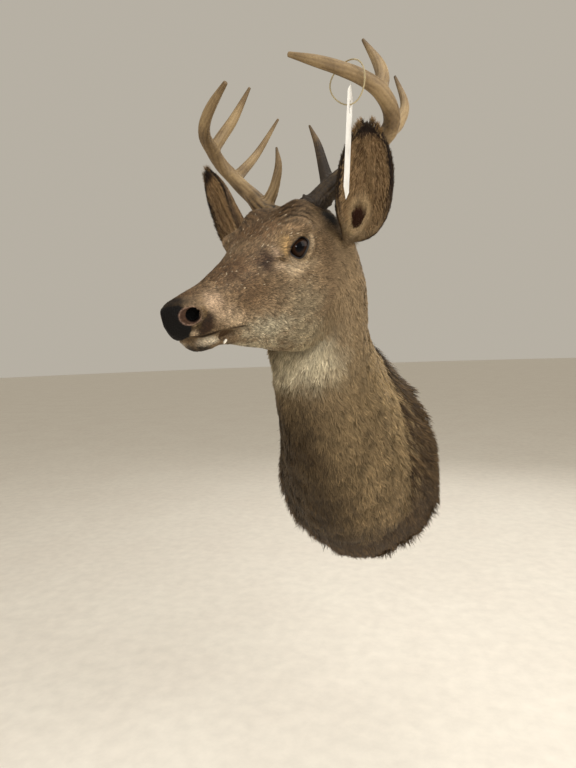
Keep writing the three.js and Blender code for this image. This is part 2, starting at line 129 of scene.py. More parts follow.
def curve(points: Array, place: Array) -> Array:
    """Catmull-Rom value of a list at fractional places.

    Args:
        points: values or vectors, one per whole place.
        place: where to read them.

    Returns:
        One value or vector for each place.
    """
    points = np.asarray(points, float)
    place = np.asarray(place, float)
    last = len(points) - 1
    i = np.clip(np.floor(place).astype(int), 0, last - 1)
    t = place - i
    if points.ndim > 1:
        t = t[..., None]
    run = np.concatenate([[2 * points[0] - points[1]], points, [2 * points[-1] - points[-2]]])
    p0, p1, p2, p3 = run[i], run[i + 1], run[i + 2], run[i + 3]
    return 0.5 * (2 * p1 + (p2 - p0) * t + (2 * p0 - 5 * p1 + 4 * p2 - p3) * t**2 + (3 * p1 - p0 - 3 * p2 + p3) * t**3)


def ripple(p: Array, size: float, seed: int) -> Array:
    """Soft noise of about -1 to 1: seven sines of the point along seeded ways, of wavelengths near size, over three.

    Args:
        p: the points.
        size: about the length of a wave.
        seed: which pattern.

    Returns:
        One value per point.
    """
    rng = np.random.default_rng(seed)
    waves = unit(rng.normal(size=(7, 3))) * (2 * np.pi / size) * rng.uniform(0.65, 1.5, (7, 1))
    return np.sin(p @ waves.T + rng.uniform(0, 2 * np.pi, 7)).sum(-1) / 3.0


def patchiness(p: Array) -> Array:
    """Unevenness of the markings' edges: two soft noises added."""
    return ripple(p, 14, 11) + 0.5 * ripple(p, 6, 12)


def clumps(p: Array, size: float, seed: int) -> tuple[Array, Array]:
    """Gathers points round scattered centres.

    Space is cut into cubes of the given size, each with one centre at a seeded place within it: the fractional part of
    a large multiple of a sine of the cube's own numbers. The nearest centre of the 27 cubes round a point is its own.

    Args:
        p: the points.
        size: the cubes' side.
        seed: which pattern.

    Returns:
        Each point's centre, and a number of 0 to 1 that is the same all over a clump.
    """
    cell = np.floor(p / size)
    best = np.full(len(p), np.inf)
    centre = np.zeros_like(p)
    tone = np.zeros(len(p))
    steps = np.array([-1, 0, 1])
    for step in np.stack(np.meshgrid(steps, steps, steps), -1).reshape(-1, 3):
        c = cell + step
        key = (c @ np.array([127.1, 311.7, 74.7]))[:, None] + np.array([0.0, 1.7, 3.9, 5.3]) + seed * 17.3
        random = np.abs(np.sin(key) * 43758.5453) % 1.0
        at = (c + random[:, :3]) * size
        gap = ((at - p) ** 2).sum(1)
        nearer = gap < best
        best = np.where(nearer, gap, best)
        centre[nearer] = at[nearer]
        tone[nearer] = random[nearer, 3]
    return centre, tone


def linear(colour: Colour) -> Array:
    """Linear light values of a screen colour of 0 to 255: ((c + 0.055) / 1.055)^2.4 above the toe."""
    c = np.asarray(colour, float) / 255.0
    return np.where(c <= 0.04045, c / 12.92, ((c + 0.055) / 1.055) ** 2.4)


def rgba(colour: Colour) -> tuple[float, float, float, float]:
    """A screen colour as a shader socket's value."""
    r, g, b = linear(colour)
    return (float(r), float(g), float(b), 1.0)


# ---------------------------------------------------------------- meshes
def grid_faces(rows: int, columns: int, round_columns: bool = False, round_rows: bool = False) -> Array:
    """Quads of a grid of rows and columns of points, closed on itself where asked.

    Args:
        rows: rows of points.
        columns: points in a row.
        round_columns: joins the last column to the first.
        round_rows: joins the last row to the first.

    Returns:
        Four corner numbers per quad.
    """
    r = np.arange(rows if round_rows else rows - 1)[:, None]
    c = np.arange(columns if round_columns else columns - 1)[None, :]
    r1, c1 = (r + 1) % rows, (c + 1) % columns
    quads = np.stack([r * columns + c, r * columns + c1, r1 * columns + c1, r1 * columns + c], -1)
    return quads.reshape(-1, 4)


def end_fans(rows: int, columns: int) -> Array:
    """Triangles that close a round grid's first and last rows onto two more points, numbered after it.

    Args:
        rows: rows of points.
        columns: points in a row, closed on itself.

    Returns:
        Three corner numbers per triangle.
    """
    n, k = rows * columns, np.arange(columns)
    after = (k + 1) % columns
    first = np.stack([np.full(columns, n), after, k], 1)
    last = np.stack([np.full(columns, n + 1), n - columns + k, n - columns + after], 1)
    return np.concatenate([first, last])


def halves(quads: Array) -> Array:
    """Quads cut in two triangles each."""
    return np.concatenate([quads[:, [0, 1, 2]], quads[:, [0, 2, 3]]])


def circles(across: Array, other: Array, sides: int) -> Array:
    """Circle of each pair of ways: across times cos plus other times sin, at even angles."""
    angle = np.arange(sides) * 2 * np.pi / sides
    return across[..., None, :] * np.cos(angle)[:, None] + other[..., None, :] * np.sin(angle)[:, None]


def make_object(name: str, points: Array, faces: Array) -> bpy.types.Object:
    """New smooth mesh object in the scene.

    Args:
        name: the object's name.
        points: corner places in millimetres.
        faces: corner numbers, all triangles or all quads.

    Returns:
        The object, at the origin and unturned.
    """
    mesh = bpy.data.meshes.new(name)
    count, corners = faces.shape
    mesh.vertices.add(len(points))
    mesh.vertices.foreach_set("co", (points * MM).astype(np.float32).ravel())
    mesh.loops.add(count * corners)
    mesh.loops.foreach_set("vertex_index", faces.astype(np.int32).ravel())
    mesh.polygons.add(count)
    mesh.polygons.foreach_set("loop_start", np.arange(0, count * corners, corners, dtype=np.int32))
    mesh.polygons.foreach_set("use_smooth", np.ones(count, bool))
    mesh.update(calc_edges=True)
    mesh.validate()
    made = bpy.data.objects.new(name, mesh)
    bpy.context.scene.collection.objects.link(made)
    return made


def move_points(obj: bpy.types.Object, points: Array) -> None:
    """Puts a mesh's points at new places in millimetres."""
    obj.data.vertices.foreach_set("co", (points * MM).astype(np.float32).ravel())
    obj.data.update()


def paint(obj: bpy.types.Object, name: str, values: Array) -> None:
    """Stores one value or colour per point under a name that materials read.

    Args:
        obj: the mesh object.
        name: the name to store under.
        values: one number or one colour per point.
    """
    kind = "FLOAT" if values.ndim == 1 else "FLOAT_COLOR"
    layer = obj.data.attributes.new(name, kind, "POINT")
    if values.ndim == 1:
        layer.data.foreach_set("value", values.astype(np.float32))
    else:
        full = np.concatenate([values, np.ones((len(values), 1))], 1)
        layer.data.foreach_set("color", full.astype(np.float32).ravel())


def map_points(obj: bpy.types.Object, name: str, places: Array) -> None:
    """Gives a mesh a UV map from one place per point.

    Args:
        obj: the mesh object.
        name: the map's name.
        places: a place on the map for each point.
    """
    corners = np.empty(len(obj.data.loops), np.int32)
    obj.data.loops.foreach_get("vertex_index", corners)
    layer = obj.data.uv_layers.new(name=name)
    layer.data.foreach_set("uv", places[corners].astype(np.float32).ravel())


def points_of(obj: bpy.types.Object) -> tuple[Array, Array]:
    """Points in millimetres and their normals.

    Args:
        obj: the mesh object.

    Returns:
        The points and the normals.
    """
    mesh = obj.data
    where = np.empty(len(mesh.vertices) * 3, np.float32)
    ways = np.empty(len(mesh.vertices) * 3, np.float32)
    mesh.vertices.foreach_get("co", where)
    mesh.vertex_normals.foreach_get("vector", ways)
    return where.reshape(-1, 3).astype(float) / MM, ways.reshape(-1, 3).astype(float)


def triangles_of(obj: bpy.types.Object) -> Array:
    """Corner numbers of a mesh's triangles.

    Args:
        obj: the mesh object.

    Returns:
        Three corner numbers per triangle.
    """
    mesh = obj.data
    mesh.calc_loop_triangles()
    out = np.empty(len(mesh.loop_triangles) * 3, np.int32)
    mesh.loop_triangles.foreach_get("vertices", out)
    return out.reshape(-1, 3)


def turn_outward(obj: bpy.types.Object) -> None:
    """Turns a closed mesh right side out if its volume, the sum of its corners' triple products, is below zero.

    Args:
        obj: the mesh object.
    """
    p, _ = points_of(obj)
    a, b, c = p[triangles_of(obj)].transpose(1, 0, 2)
    if (a * np.cross(b, c)).sum() < 0:
        obj.data.flip_normals()


def nearest(p: Array, samples: Array, chunk: int = 4096) -> tuple[Array, Array]:
    """Number of the nearest sample to each point, and its distance.

    Args:
        p: the points.
        samples: the samples to choose from.
        chunk: how many points are worked on at once.

    Returns:
        The numbers and the distances.
    """
    index = np.empty(len(p), int)
    gap = np.empty(len(p))
    squares = (samples**2).sum(1)
    for start in range(0, len(p), chunk):
        part = p[start:start + chunk]
        d = squares - 2 * part @ samples.T
        index[start:start + chunk] = d.argmin(1)
        gap[start:start + chunk] = np.sqrt(np.maximum(d.min(1) + (part**2).sum(1), 0))
    return index, gap


def finish_piece(obj: bpy.types.Object, slot: str, material: bpy.types.Material, *nodes: str) -> bpy.types.Object:
    """Dresses a piece, lets it ride on the one body, and hides the nodes that it stands for.

    Args:
        obj: the piece.
        slot: the kind of surface it is; not used.
        material: its finish.
        nodes: the nodes that it stands for.

    Returns:
        The piece.
    """
    obj.data.materials.clear()
    obj.data.materials.append(material)
    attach(obj, "root")
    if nodes:
        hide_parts(*nodes)
    LOG.info("%s: %d faces", obj.name, len(obj.data.polygons))
    return obj


# ---------------------------------------------------------------- the head's frame
@dataclass(frozen=True)
class HeadFrame:
    """The head's own axes: turned to the deer's right, nose dipped, left side a little up."""

    nose: Point = (-124, -557, 263)
    turn: float = 21.1
    dip: float = 9.7
    tilt: float = 0.9

    def axes(self) -> Array:
        """Columns forward, left and up in the wall frame.

        Returns:
            A matrix of three columns.
        """
        turn, dip, tilt = np.radians([self.turn, self.dip, self.tilt])
        forward = np.array([-math.sin(turn) * math.cos(dip), -math.cos(turn) * math.cos(dip), -math.sin(dip)])
        left = np.array([math.cos(turn), -math.sin(turn), 0.0])
        left = left * math.cos(tilt) + np.cross(forward, left) * math.sin(tilt)
        return np.stack([forward, left, np.cross(forward, left)], 1)

    def out(self, p: Array) -> Array:
        """Points of the head frame in the wall frame."""
        return np.asarray(p, float) @ self.axes().T + np.array(self.nose)

    def way(self, v: Array) -> Array:
        """Directions of the head frame in the wall frame."""
        return np.asarray(v, float) @ self.axes().T

    def back(self, p: Array) -> Array:
        """Points of the wall frame in the head frame."""
        return (np.asarray(p, float) - np.array(self.nose)) @ self.axes()


HEAD = HeadFrame()


class Side(Enum):
    """The deer's left or right."""

    LEFT = 1
    RIGHT = -1

    @property
    def word(self) -> str:
        """The side's name in lower case."""
        return self.name.lower()

    def flip(self, p: Array) -> Array:
        """Points of the head frame drawn on the left, on this side."""
        return np.asarray(p, float) * np.array([1, self.value, 1])


# ---------------------------------------------------------------- materials
class Value:
    """A socket whose operators add Math nodes."""

    def __init__(self, owner: "Finish", socket: bpy.types.NodeSocket) -> None:
        """Keeps the socket and the finish it belongs to."""
        self.owner = owner
        self.socket = socket

    def math(self, operation: str, *others: "Value | float") -> "Value":
        """A Math node on this value and others."""
        return self.owner.node("ShaderNodeMath", {"operation": operation}, {0: self, **dict(enumerate(others, 1))})[0]

    def __add__(self, other: "Value | float") -> "Value":
        """Sum."""
        return self.math("ADD", other)

    def __mul__(self, other: "Value | float") -> "Value":
        """Product."""
        return self.math("MULTIPLY", other)

    def __sub__(self, other: "Value | float") -> "Value":
        """Difference."""
        return self.math("SUBTRACT", other)

    def __rsub__(self, other: float) -> "Value":
        """Difference from a number."""
        return self.owner.node("ShaderNodeMath", {"operation": "SUBTRACT"}, {0: other, 1: self})[0]

    __radd__ = __add__
    __rmul__ = __mul__

    def held(self) -> "Value":
        """This value kept between 0 and 1."""
        return self.owner.node("ShaderNodeClamp", {}, {0: self})[0]


class Finish:
    """A material under construction: one method adds any node, short ones add the common patterns."""

    def __init__(self, name: str) -> None:
        """Starts an empty material with an output.

        Args:
            name: the material's name.
        """
        self.material = bpy.data.materials.new(name)
        self.material.use_nodes = True
        self.tree = self.material.node_tree
        self.tree.nodes.clear()
        self.output = self.tree.nodes.new("ShaderNodeOutputMaterial")

    def node(self, kind: str, settings: dict[str, Any], inputs: dict[int | str, Any]) -> list[Value]:
        """Adds a node.

        Args:
            kind: the node's type name.
            settings: its properties, set first; "stops" fills a colour ramp.
            inputs: socket number or name with a number, a colour or a Value to link.

        Returns:
            Its outputs.
        """
        made = self.tree.nodes.new(kind)
        for key, value in settings.items():
            if key == "stops":
                ramp = made.color_ramp.elements
                while len(ramp) < len(value):
                    ramp.new(0.5)
                for stop, (place, colour) in zip(ramp, value):
                    stop.position = place
                    stop.color = colour
            else:
                setattr(made, key, value)
        for key, value in inputs.items():
            if isinstance(value, Value):
                self.tree.links.new(value.socket, made.inputs[key])
            else:
                made.inputs[key].default_value = value
        return [Value(self, socket) for socket in made.outputs if socket.enabled]

    def attribute(self, name: str) -> tuple[Value, Value]:
        """Colour and number of a painted attribute."""
        outputs = self.node("ShaderNodeAttribute", {"attribute_name": name}, {})
        return outputs[0], outputs[2]

    def place(self, stretch: Point = (1, 1, 1)) -> Value:
        """Object coordinates, stretched if asked.

        Args:
            stretch: how much finer the pattern is along each axis.

        Returns:
            The place as a socket.
        """
        made = self.tree.nodes.new("ShaderNodeTexCoord")
        where = Value(self, made.outputs["Object"])
        if stretch == (1, 1, 1):
            return where
        return self.node("ShaderNodeMapping", {}, {"Vector": where, "Scale": stretch})[0]

    def noise(self, scale: float, detail: float = 2.0, rough: float = 0.5, at: Value | None = None) -> Value:
        """Noise of 0 to 1 on the object."""
        inputs = {"Vector": at or self.place(), "Scale": scale, "Detail": detail, "Roughness": rough}
        return self.node("ShaderNodeTexNoise", {}, inputs)[0]

    def cells(self, scale: float) -> Value:
        """Distance pattern of scattered cells on the object."""
        return self.node("ShaderNodeTexVoronoi", {}, {"Vector": self.place(), "Scale": scale})[0]

    def mix(self, amount: Value | float, a: Any, b: Any) -> Value:
        """Colour between a and b."""
        return self.node("ShaderNodeMix", {"data_type": "RGBA", "clamp_factor": True}, {0: amount, 6: a, 7: b})[0]

    def brighten(self, colour: Value, factor: Value) -> Value:
        """Colour times a number."""
        return self.node("ShaderNodeVectorMath", {"operation": "SCALE"}, {0: colour, 3: factor})[0]

    def bump(self, height: Value, distance: float, strength: float) -> Value:
        """Normal from a height, with distance in metres."""
        return self.node("ShaderNodeBump", {}, {"Height": height, "Distance": distance, "Strength": strength})[0]

    def surface(self, **values: Any) -> bpy.types.Material:
        """Ends the material in a Principled shader with these sockets, their names' spaces written as underscores.

        Args:
            values: what each input of the surface is set to, with an underscore for each space in its name.

        Returns:
            The finished material.
        """
        named = {key.replace("_", " "): value for key, value in values.items()}
        shader = self.node("ShaderNodeBsdfPrincipled", {}, named)[0]
        self.tree.links.new(shader.socket, self.output.inputs["Surface"])
        return self.material


@dataclass(frozen=True)
class CoatFinish:
    """Hair and the skin it grows on: painted markings, mottled, with darker roots, partly the hair's own banding and
    partly painted shade deep in the coat.
    """

    fleck: float = 0.22
    gloss: float = 0.62

    def hair(self) -> bpy.types.Material:
        """Material of the tufts.

        Returns:
            The material.
        """
        f = Finish("hair")
        mark, _ = f.attribute("mark")
        _, shade = f.attribute("shade")
        patch = f.noise(55.0, 3.0)
        fine = f.noise(700.0, 2.0, 0.6)
        light = shade * (0.84 + patch * 0.32) * ((1.0 - self.fleck / 2) + fine * self.fleck)
        return f.surface(Base_Color=f.brighten(mark, light), Roughness=self.gloss, Specular_IOR_Level=0.22)

    def skin(self) -> bpy.types.Material:
        """Material of the skin under the tufts, darkened as painted shade between the hairs, with the bare leather of
        the nose, the dark of the lips and the nostrils' dark holes of painted shade.

        Returns:
            The material.
        """
        f = Finish("skin")
        mark, _ = f.attribute("mark")
        _, bare = f.attribute("bare")
        patch = f.noise(55.0, 3.0)
        fine = f.noise(900.0, 3.0, 0.65)
        streak = f.noise(420.0, 2.0, 0.6, f.place((1.0, 0.35, 0.35)))
        # Painted shade: the skin takes the coat's painted colours darkened, as seen deep between the hairs.
        light = (0.66 + patch * 0.2) * (0.72 + streak * 0.5) * (0.8 + fine * 0.36)
        coat = f.brighten(mark, light)
        pebble = f.cells(430.0)
        leather = f.brighten(mark, 0.75 + pebble * 0.55)
        grain = streak * 0.7 + fine * 0.5
        height = bare * pebble * 0.9 + (1.0 - bare) * grain
        normal = f.bump(height, 0.0011, 0.75)
        rough = 0.75 - bare * 0.2 + bare * fine * 0.12
        return f.surface(Base_Color=f.mix(bare, coat, leather), Roughness=rough, Normal=normal, Specular_IOR_Level=0.1)


@dataclass(frozen=True)
class BoneFinish:
    """Antler: tan bone, darker in its grooves and low down, rubbed pale where it stands out."""

    pale: Colour = (162, 138, 100)
    tan: Colour = (110, 89, 60)
    dark: Colour = (44, 34, 24)

    def make(self) -> bpy.types.Material:
        """Material that reads the painted tone, 0 dark to 1 pale.

        Returns:
            The material.
        """
        f = Finish("antler_bone")
        _, tone = f.attribute("tone")
        cloud = f.noise(28.0, 4.0, 0.6)
        grain = f.noise(240.0, 4.0, 0.65)
        speck = f.noise(900.0, 2.0, 0.6)
        level = (tone + (cloud - 0.5) * 0.55 + (grain - 0.5) * 0.42).held()
        stops = [(0.0, rgba(self.dark)), (0.42, rgba(self.tan)), (0.95, rgba(self.pale))]
        colour = f.node("ShaderNodeValToRGB", {"stops": stops}, {0: level})[0]
        colour = f.brighten(colour, 0.84 + speck * 0.32)
        normal = f.bump(grain * 0.8 + speck * 0.3, 0.0009, 0.7)
        return f.surface(Base_Color=colour, Roughness=0.5 + grain * 0.2, Normal=normal, Specular_IOR_Level=0.4)


@dataclass(frozen=True)
class EyeFinish:
    """Glass eye: near-black pupil in a dark brown iris, brown white at its edge, under clear glass."""

    iris: Colour = (40, 24, 13)
    edge: Colour = (16, 10, 7)
    pupil: Colour = (3, 3, 6)

    def make(self) -> bpy.types.Material:
        """Material that reads how far from the axis a point is and how deep in the pupil.

        Returns:
            The material.
        """
        f = Finish("eye_glass")
        _, away = f.attribute("away")
        _, pupil = f.attribute("pupil")
        fibre = f.noise(520.0, 3.0, 0.6)
        iris = f.mix(((away - 0.55) * 3.5).held(), rgba(self.iris), rgba(self.edge))
        iris = f.brighten(iris, 0.6 + fibre * 0.8)
        colour = f.mix(pupil, iris, rgba(self.pupil))
        return f.surface(
            Base_Color=colour, Roughness=0.5, Coat_Weight=0.34, Coat_Roughness=0.02, Coat_IOR=1.34,
            Specular_IOR_Level=0.02,
        )


@dataclass(frozen=True)
class PlainFinish:
    """A finish of one colour, broken up by noise and grain."""

    name: str
    colour: Colour
    second: Colour
    scale: float
    rough: float
    metal: float = 0.0
    relief: float = 0.0003
    stretch: Point = (1, 1, 1)

    def make(self) -> bpy.types.Material:
        """Two colours mixed by stretched noise, with matching bump and roughness.

        Returns:
            The material.
        """
        f = Finish(self.name)
        at = f.place(self.stretch)
        cloud = f.noise(self.scale, 4.0, 0.6, at)
        fine = f.noise(self.scale * 9.0, 3.0, 0.6, at)
        colour = f.mix(((cloud - 0.35) * 2.6).held(), rgba(self.colour), rgba(self.second))
        colour = f.brighten(colour, 0.88 + fine * 0.24)
        normal = f.bump(cloud * 0.5 + fine * 0.5, self.relief, 0.6)
        rough = (self.rough - 0.08) + fine * 0.16
        return f.surface(Base_Color=colour, Roughness=rough, Metallic=self.metal, Normal=normal)


# ---------------------------------------------------------------- the body's form
@dataclass(frozen=True)
class Section:
    """One cross-section of the body: its top and bottom, half width, widest level and squareness above and below."""

    top: tuple[float, ...]
    bottom: tuple[float, ...]
    half: float
    widest: float
    upper: float
    lower: float


@dataclass(frozen=True)
class Form:
    """A raised or sunk form of the head, mirrored on its other side."""

    at: Point
    size: Point
    height: float

    def at_points(self, p: Array) -> Array:
        """Height at points of the head frame."""
        return self.height * bell(left_side(p), self.at, self.size)


@dataclass
class Body:
    """Head, neck and shoulders as rings from the nose to the hide's edge at the board.

    Places along it are numbered by section, 0 at the nose. The coat's depth is given at such places, and each notch
    beside the lobes of the hide's edge by its depth, its angle and its width in degrees.
    """

    head: tuple[Section, ...] = (
        Section((-6, -5), (-9, -29), 11, 0.5, 2.2, 2.2),
        Section((-8, 3.5), (-15, -37.5), 19, 0.62, 2.3, 2.1),
        Section((-14, 9), (-25, -44), 25, 0.62, 2.3, 2.1),
        Section((-24, 13.5), (-36, -53), 28, 0.55, 2.3, 2.2),
        Section((-42, 19), (-52, -55), 29, 0.5, 2.3, 2.2),
        Section((-68, 27), (-75, -53), 29, 0.5, 2.3, 2.2),
        Section((-95, 40), (-101, -57), 32, 0.5, 2.2, 2.1),
        Section((-122, 54), (-128, -65), 38, 0.52, 2.2, 2.1),
        Section((-150, 70), (-156, -72), 47, 0.58, 2.4, 2.1),
        Section((-175, 84), (-182, -80), 55, 0.66, 2.7, 2.1),
        Section((-200, 97), (-207, -86), 62, 0.72, 3.0, 2.0),
        Section((-230, 109), (-226, -89), 67, 0.72, 3.0, 2.0),
        Section((-260, 116), (-240, -90), 69, 0.68, 2.8, 2.0),
        Section((-287, 114), (-247, -91), 72, 0.68, 2.5, 2.0),
    )
    neck: tuple[Section, ...] = (
        Section((-21, -277, 402), (-30, -317, 205), 78, 0.7, 2.5, 2.0),
        Section((-16, -216, 373), (-25, -331, 148), 80, 0.6, 2.2, 2.0),
        Section((-14, -152, 332), (-21, -312, 62), 78, 0.46, 1.9, 2.0),
        Section((-9, -96, 282), (-13, -250, -40), 97, 0.38, 1.65, 1.95),
        Section((-4, -52, 238), (-7, -150, -132), 130, 0.38, 1.75, 1.85),
        Section((-2, -18.3, 205), (-4, -18.3, -207), 160, 0.4, 1.95, 1.8),
    )
    forms: tuple[Form, ...] = (
        Form((-195, 60, 73), (22, 19, 14), 17),
        Form((-181, 64, 68), (14, 14, 13), 9),
        Form((-227, 36, 104), (26, 22, 18), 11),
        Form((-189, 62, 47), (16, 18, 13), -12),
        Form((-166, 46, 35), (10, 12, 7), -3.5),
        Form((-205, 52, -35), (34, 26, 30), 4),
        Form((-135, 40, -2), (26, 18, 22), -4),
        Form((-25, 0, -45), (7, 26, 10), -9),
    )
    coat_depth: Stops = (
        (0, 0.0), (1.5, 0.2), (3, 1.2), (9, 1.7), (12, 2.2), (15, 3.2), (17, 5.2), (19, 8.5),
    )
    notches: tuple[Point, ...] = ((5.0, 238, 13), (5.0, 303, 10))
    tops: Array = field(init=False)
    bottoms: Array = field(init=False)

    def __post_init__(self) -> None:
        """Puts the head's sections into the wall frame."""
        self.tops = np.array([*(HEAD.out([s.top[0], 0, s.top[1]]) for s in self.head), *(s.top for s in self.neck)])
        self.bottoms = np.array(
            [*(HEAD.out([s.bottom[0], 0, s.bottom[1]]) for s in self.head), *(s.bottom for s in self.neck)]
        )

    @property
    def last(self) -> float:
        """Place of the hide's edge."""
        return float(len(self.tops) - 1)

    def measure(self, name: str, place: Array) -> Array:
        """A section's number at fractional places."""
        return curve([getattr(s, name) for s in (*self.head, *self.neck)], place)

    def axes(self, place: Array) -> tuple[Array, Array, Array, Array]:
        """Bottom point, upright, height and way along the body, at places.

        Args:
            place: places along the body.

        Returns:
            The ring's foot, its way up, its height and its way ahead.
        """
        top, bottom = curve(self.tops, place), curve(self.bottoms, place)
        upright = top - bottom
        height = np.linalg.norm(upright, axis=-1)
        middles = self.tops + self.bottoms
        along = curve(middles, place + 0.02) - curve(middles, place - 0.02)
        along = np.where((place >= self.last)[:, None], np.array([0.0, 1.0, 0.0]), unit(along))
        return bottom, unit(upright), height, along

    def rings(self, place: Array, angle: Array) -> Array:
        """Points of the outer form.

        The ring is a superellipse: across is sgn(cos) |cos|^(2/n) times the half width, rise the same of sin times the
        reach above or below the widest level, and the head's forms push it out along the ring's own radius.

        Args:
            place: places along the body.
            angle: angles round it.

        Returns:
            An array of places by angles by three.
        """
        bottom, upright, height, along = self.axes(place)
        side = unit(np.cross(upright, along))
        widest = self.measure("widest", place)
        centre = bottom + upright * (widest * height)[:, None]
        c, s = np.cos(angle)[None, :], np.sin(angle)[None, :]
        power = np.where(s > 0, self.measure("upper", place)[:, None], self.measure("lower", place)[:, None])
        across = np.sign(c) * np.abs(c) ** (2 / power) * self.measure("half", place)[:, None]
        reach = np.where(s > 0, 1 - widest[:, None], widest[:, None]) * height[:, None]
        rise = np.sign(s) * np.abs(s) ** (2 / power) * reach
        side, upright = side[:, None, :], upright[:, None, :]
        p = centre[:, None, :] + side * across[..., None] + upright * rise[..., None]
        out = side * c[..., None] + upright * s[..., None]
        lift = sum(form.at_points(HEAD.back(p)) for form in self.forms)
        return p + out * lift[..., None]

    def depth(self, place: Array) -> Array:
        """Depth of the coat from skin to tips: none at the nose, thin on the face, deep on neck and shoulders."""
        return stepped(place, self.coat_depth)

    def ragged(self, place: Array, angle: Array) -> Array:
        """How far the hide's cut edge lies further in: most beside the two lobes at its foot, with a wave all round.

        Args:
            place: places along the body.
            angle: angles round it.

        Returns:
            Distances in millimetres.
        """
        turn = np.degrees(angle) % 360
        lobes = sum(deep * np.exp(-(((turn - at) / wide) ** 2)) for deep, at, wide in self.notches)
        wave = 1.6 + 1.4 * np.sin(angle * 9 + 1.0) * np.sin(angle * 4) + 0.9 * np.sin(angle * 23 + 2.0)
        return ease((place - 17.6) / 1.4) * (lobes + wave)

    def dents(self, p: Array, place: Array) -> Array:
        """Soft hollows where the hide lies over the neck and chest."""
        return ease((place - 14) / 2) * (1.6 * ripple(p, 60, 71) + 0.8 * ripple(p, 26, 72))

    def skin_mesh(self, rows: int = 250, columns: int = 150) -> tuple[Array, Array, Array]:
        """The form drawn in by the depth of the coat, with both ends closed.

        Args:
            rows: rings along the body.
            columns: points round each ring.

        Returns:
            Points, quads and the triangles that close the ends.
        """
        place = np.linspace(0, self.last, rows)
        angle = np.arange(columns) * 2 * np.pi / columns
        p = self.rings(place, angle)
        normal = unit(np.cross(np.roll(p, -1, 1) - np.roll(p, 1, 1), np.gradient(p, axis=0)))
        middle = p.mean(1, keepdims=True)
        normal *= np.sign((normal * (p - middle)).sum(-1, keepdims=True).mean())
        inset = self.depth(place)[:, None] + self.ragged(place[:, None], angle[None, :])
        dents = self.dents(p.reshape(-1, 3), np.repeat(place, columns)).reshape(rows, columns)
        q = p - normal * (inset + np.maximum(dents, -1.0))[..., None]
        q[-1, :, 1] = p[-1, :, 1]
        points = np.concatenate([q.reshape(-1, 3), q[0].mean(0)[None], q[-1].mean(0)[None]])
        return points, grid_faces(rows, columns, round_columns=True), end_fans(rows, columns)


# ---------------------------------------------------------------- ears
@dataclass(frozen=True)
class Ear:
    """A cupped leaf from root to tip, drawn on the left side."""

    side: Side
    axis: tuple[Point, ...]
    faces: Point
    half_width: float = 39.5
    thick: float = 6.0
    widest: float = 0.5
    hair: float = 1.6
    rolled: float = 112.0
    open: float = 52.0
    canal: tuple[float, float] = (0.25, 0.0)

    def frame_at(self, u: Array) -> tuple[Array, Array, Array, Array]:
        """The leaf's own axes at levels, root 0 to tip 1, in the head frame's left side.

        Args:
            u: the levels.

        Returns:
            Centre, way along, way across and the way that the opening looks.
        """
        place = np.asarray(u) * (len(self.axis) - 1)
        centre = curve(self.axis, place)
        along = unit(curve(self.axis, place + 0.01) - curve(self.axis, place - 0.01))
        look = square_to(np.array(self.faces, float), along)
        return centre, along, np.cross(along, look), look

    def curl(self, u: Array) -> Array:
        """Half angle of the leaf's arc at levels: rolled up at the root, open above."""
        return np.radians(blend(self.rolled, self.open, ease(u / 0.7)))

    def ways(self, *of_head: Array) -> tuple[Array, ...]:
        """Ways drawn on the head's left, in the wall frame on this side."""
        return tuple(HEAD.way(self.side.flip(v)) for v in of_head)

    def sheet(self, u: Array, k: Array, depth: float, shrink: float = 0.0) -> Array:
        """Points of the ear's wall.

        At each level the wall is an arc of the leaf's curl, on a radius that gives the leaf its half width: the widest
        at mid height and narrowing as one minus a power of the distance.

        Args:
            u: levels, root 0 to tip 1.
            k: places across, -1 to 1.
            depth: 0 on the back, 1 on the inside.
            shrink: how far the leaf's edge is drawn in.

        Returns:
            Points by level and place across, in the wall frame.
        """
        centre, _, across, look = self.frame_at(u)
        reach = np.where(u > self.widest, 1.01 - self.widest, 0.6)
        leaf = np.maximum(0.04, 1 - (np.abs(u - self.widest) / reach) ** 2.2)
        full = self.half_width * leaf ** np.where(u > self.widest, 0.72, 1.8)
        half = np.maximum(full - shrink, 1.0)
        curl = self.curl(u)
        radius = full / np.sin(np.minimum(curl, np.pi / 2))
        wall = self.thick * blend(1.0, 0.55, u)
        angle = (curl * half / full)[:, None] * k[None, :]
        fold = (np.sin(k * 9.0 + 1.0) * (1 - k**2))[None, :] * (ease(u / 0.25) * ease((1 - u) / 0.3))[:, None]
        r = radius[:, None] - blend(self.hair * 0.6, wall - self.hair * 0.3, depth)[:, None] - depth * 0.9 * fold
        p = centre[:, None] + across[:, None] * (r * np.sin(angle))[..., None]
        p = p + look[:, None] * (radius[:, None] * 0.7 - r * np.cos(angle))[..., None]
        return HEAD.out(self.side.flip(p))

    def mesh(self) -> tuple[Array, Array, Array]:
        """Closed wall of the ear: out along the back and home along the inside.

        Returns:
            Points in the wall frame, quads and no triangles.
        """
        u = 1 - (1 - np.linspace(0, 0.985, 70)) ** 1.25
        k = np.linspace(-1, 1, 34)
        ring = np.concatenate([self.sheet(u, k, 0.0, self.hair), self.sheet(u, k[::-1], 1.0, self.hair)], 1)
        n = ring.shape[1]
        i = np.arange(n // 2 - 1)
        strip = np.stack([i, i + 1, n - 2 - i, n - 1 - i], 1)
        quads = np.concatenate([grid_faces(len(u), n, round_columns=True), strip[:, ::-1], (len(u) - 1) * n + strip])
        return ring.reshape(-1, 3), quads[:, ::self.side.value], np.empty((0, 3), int)


EARS = (
    Ear(
        Side.LEFT, ((-286, 74, 52), (-284, 97, 78), (-279, 115, 114), (-271, 129, 154), (-266, 137, 188)),
        (0.79, 0.43, -0.43),
    ),
    Ear(
        Side.RIGHT, ((-276, 72, 52), (-267, 92, 88), (-260, 112, 127), (-257, 129, 165), (-257, 138, 189)),
        (0.9, 0.28, -0.36),
    ),
)


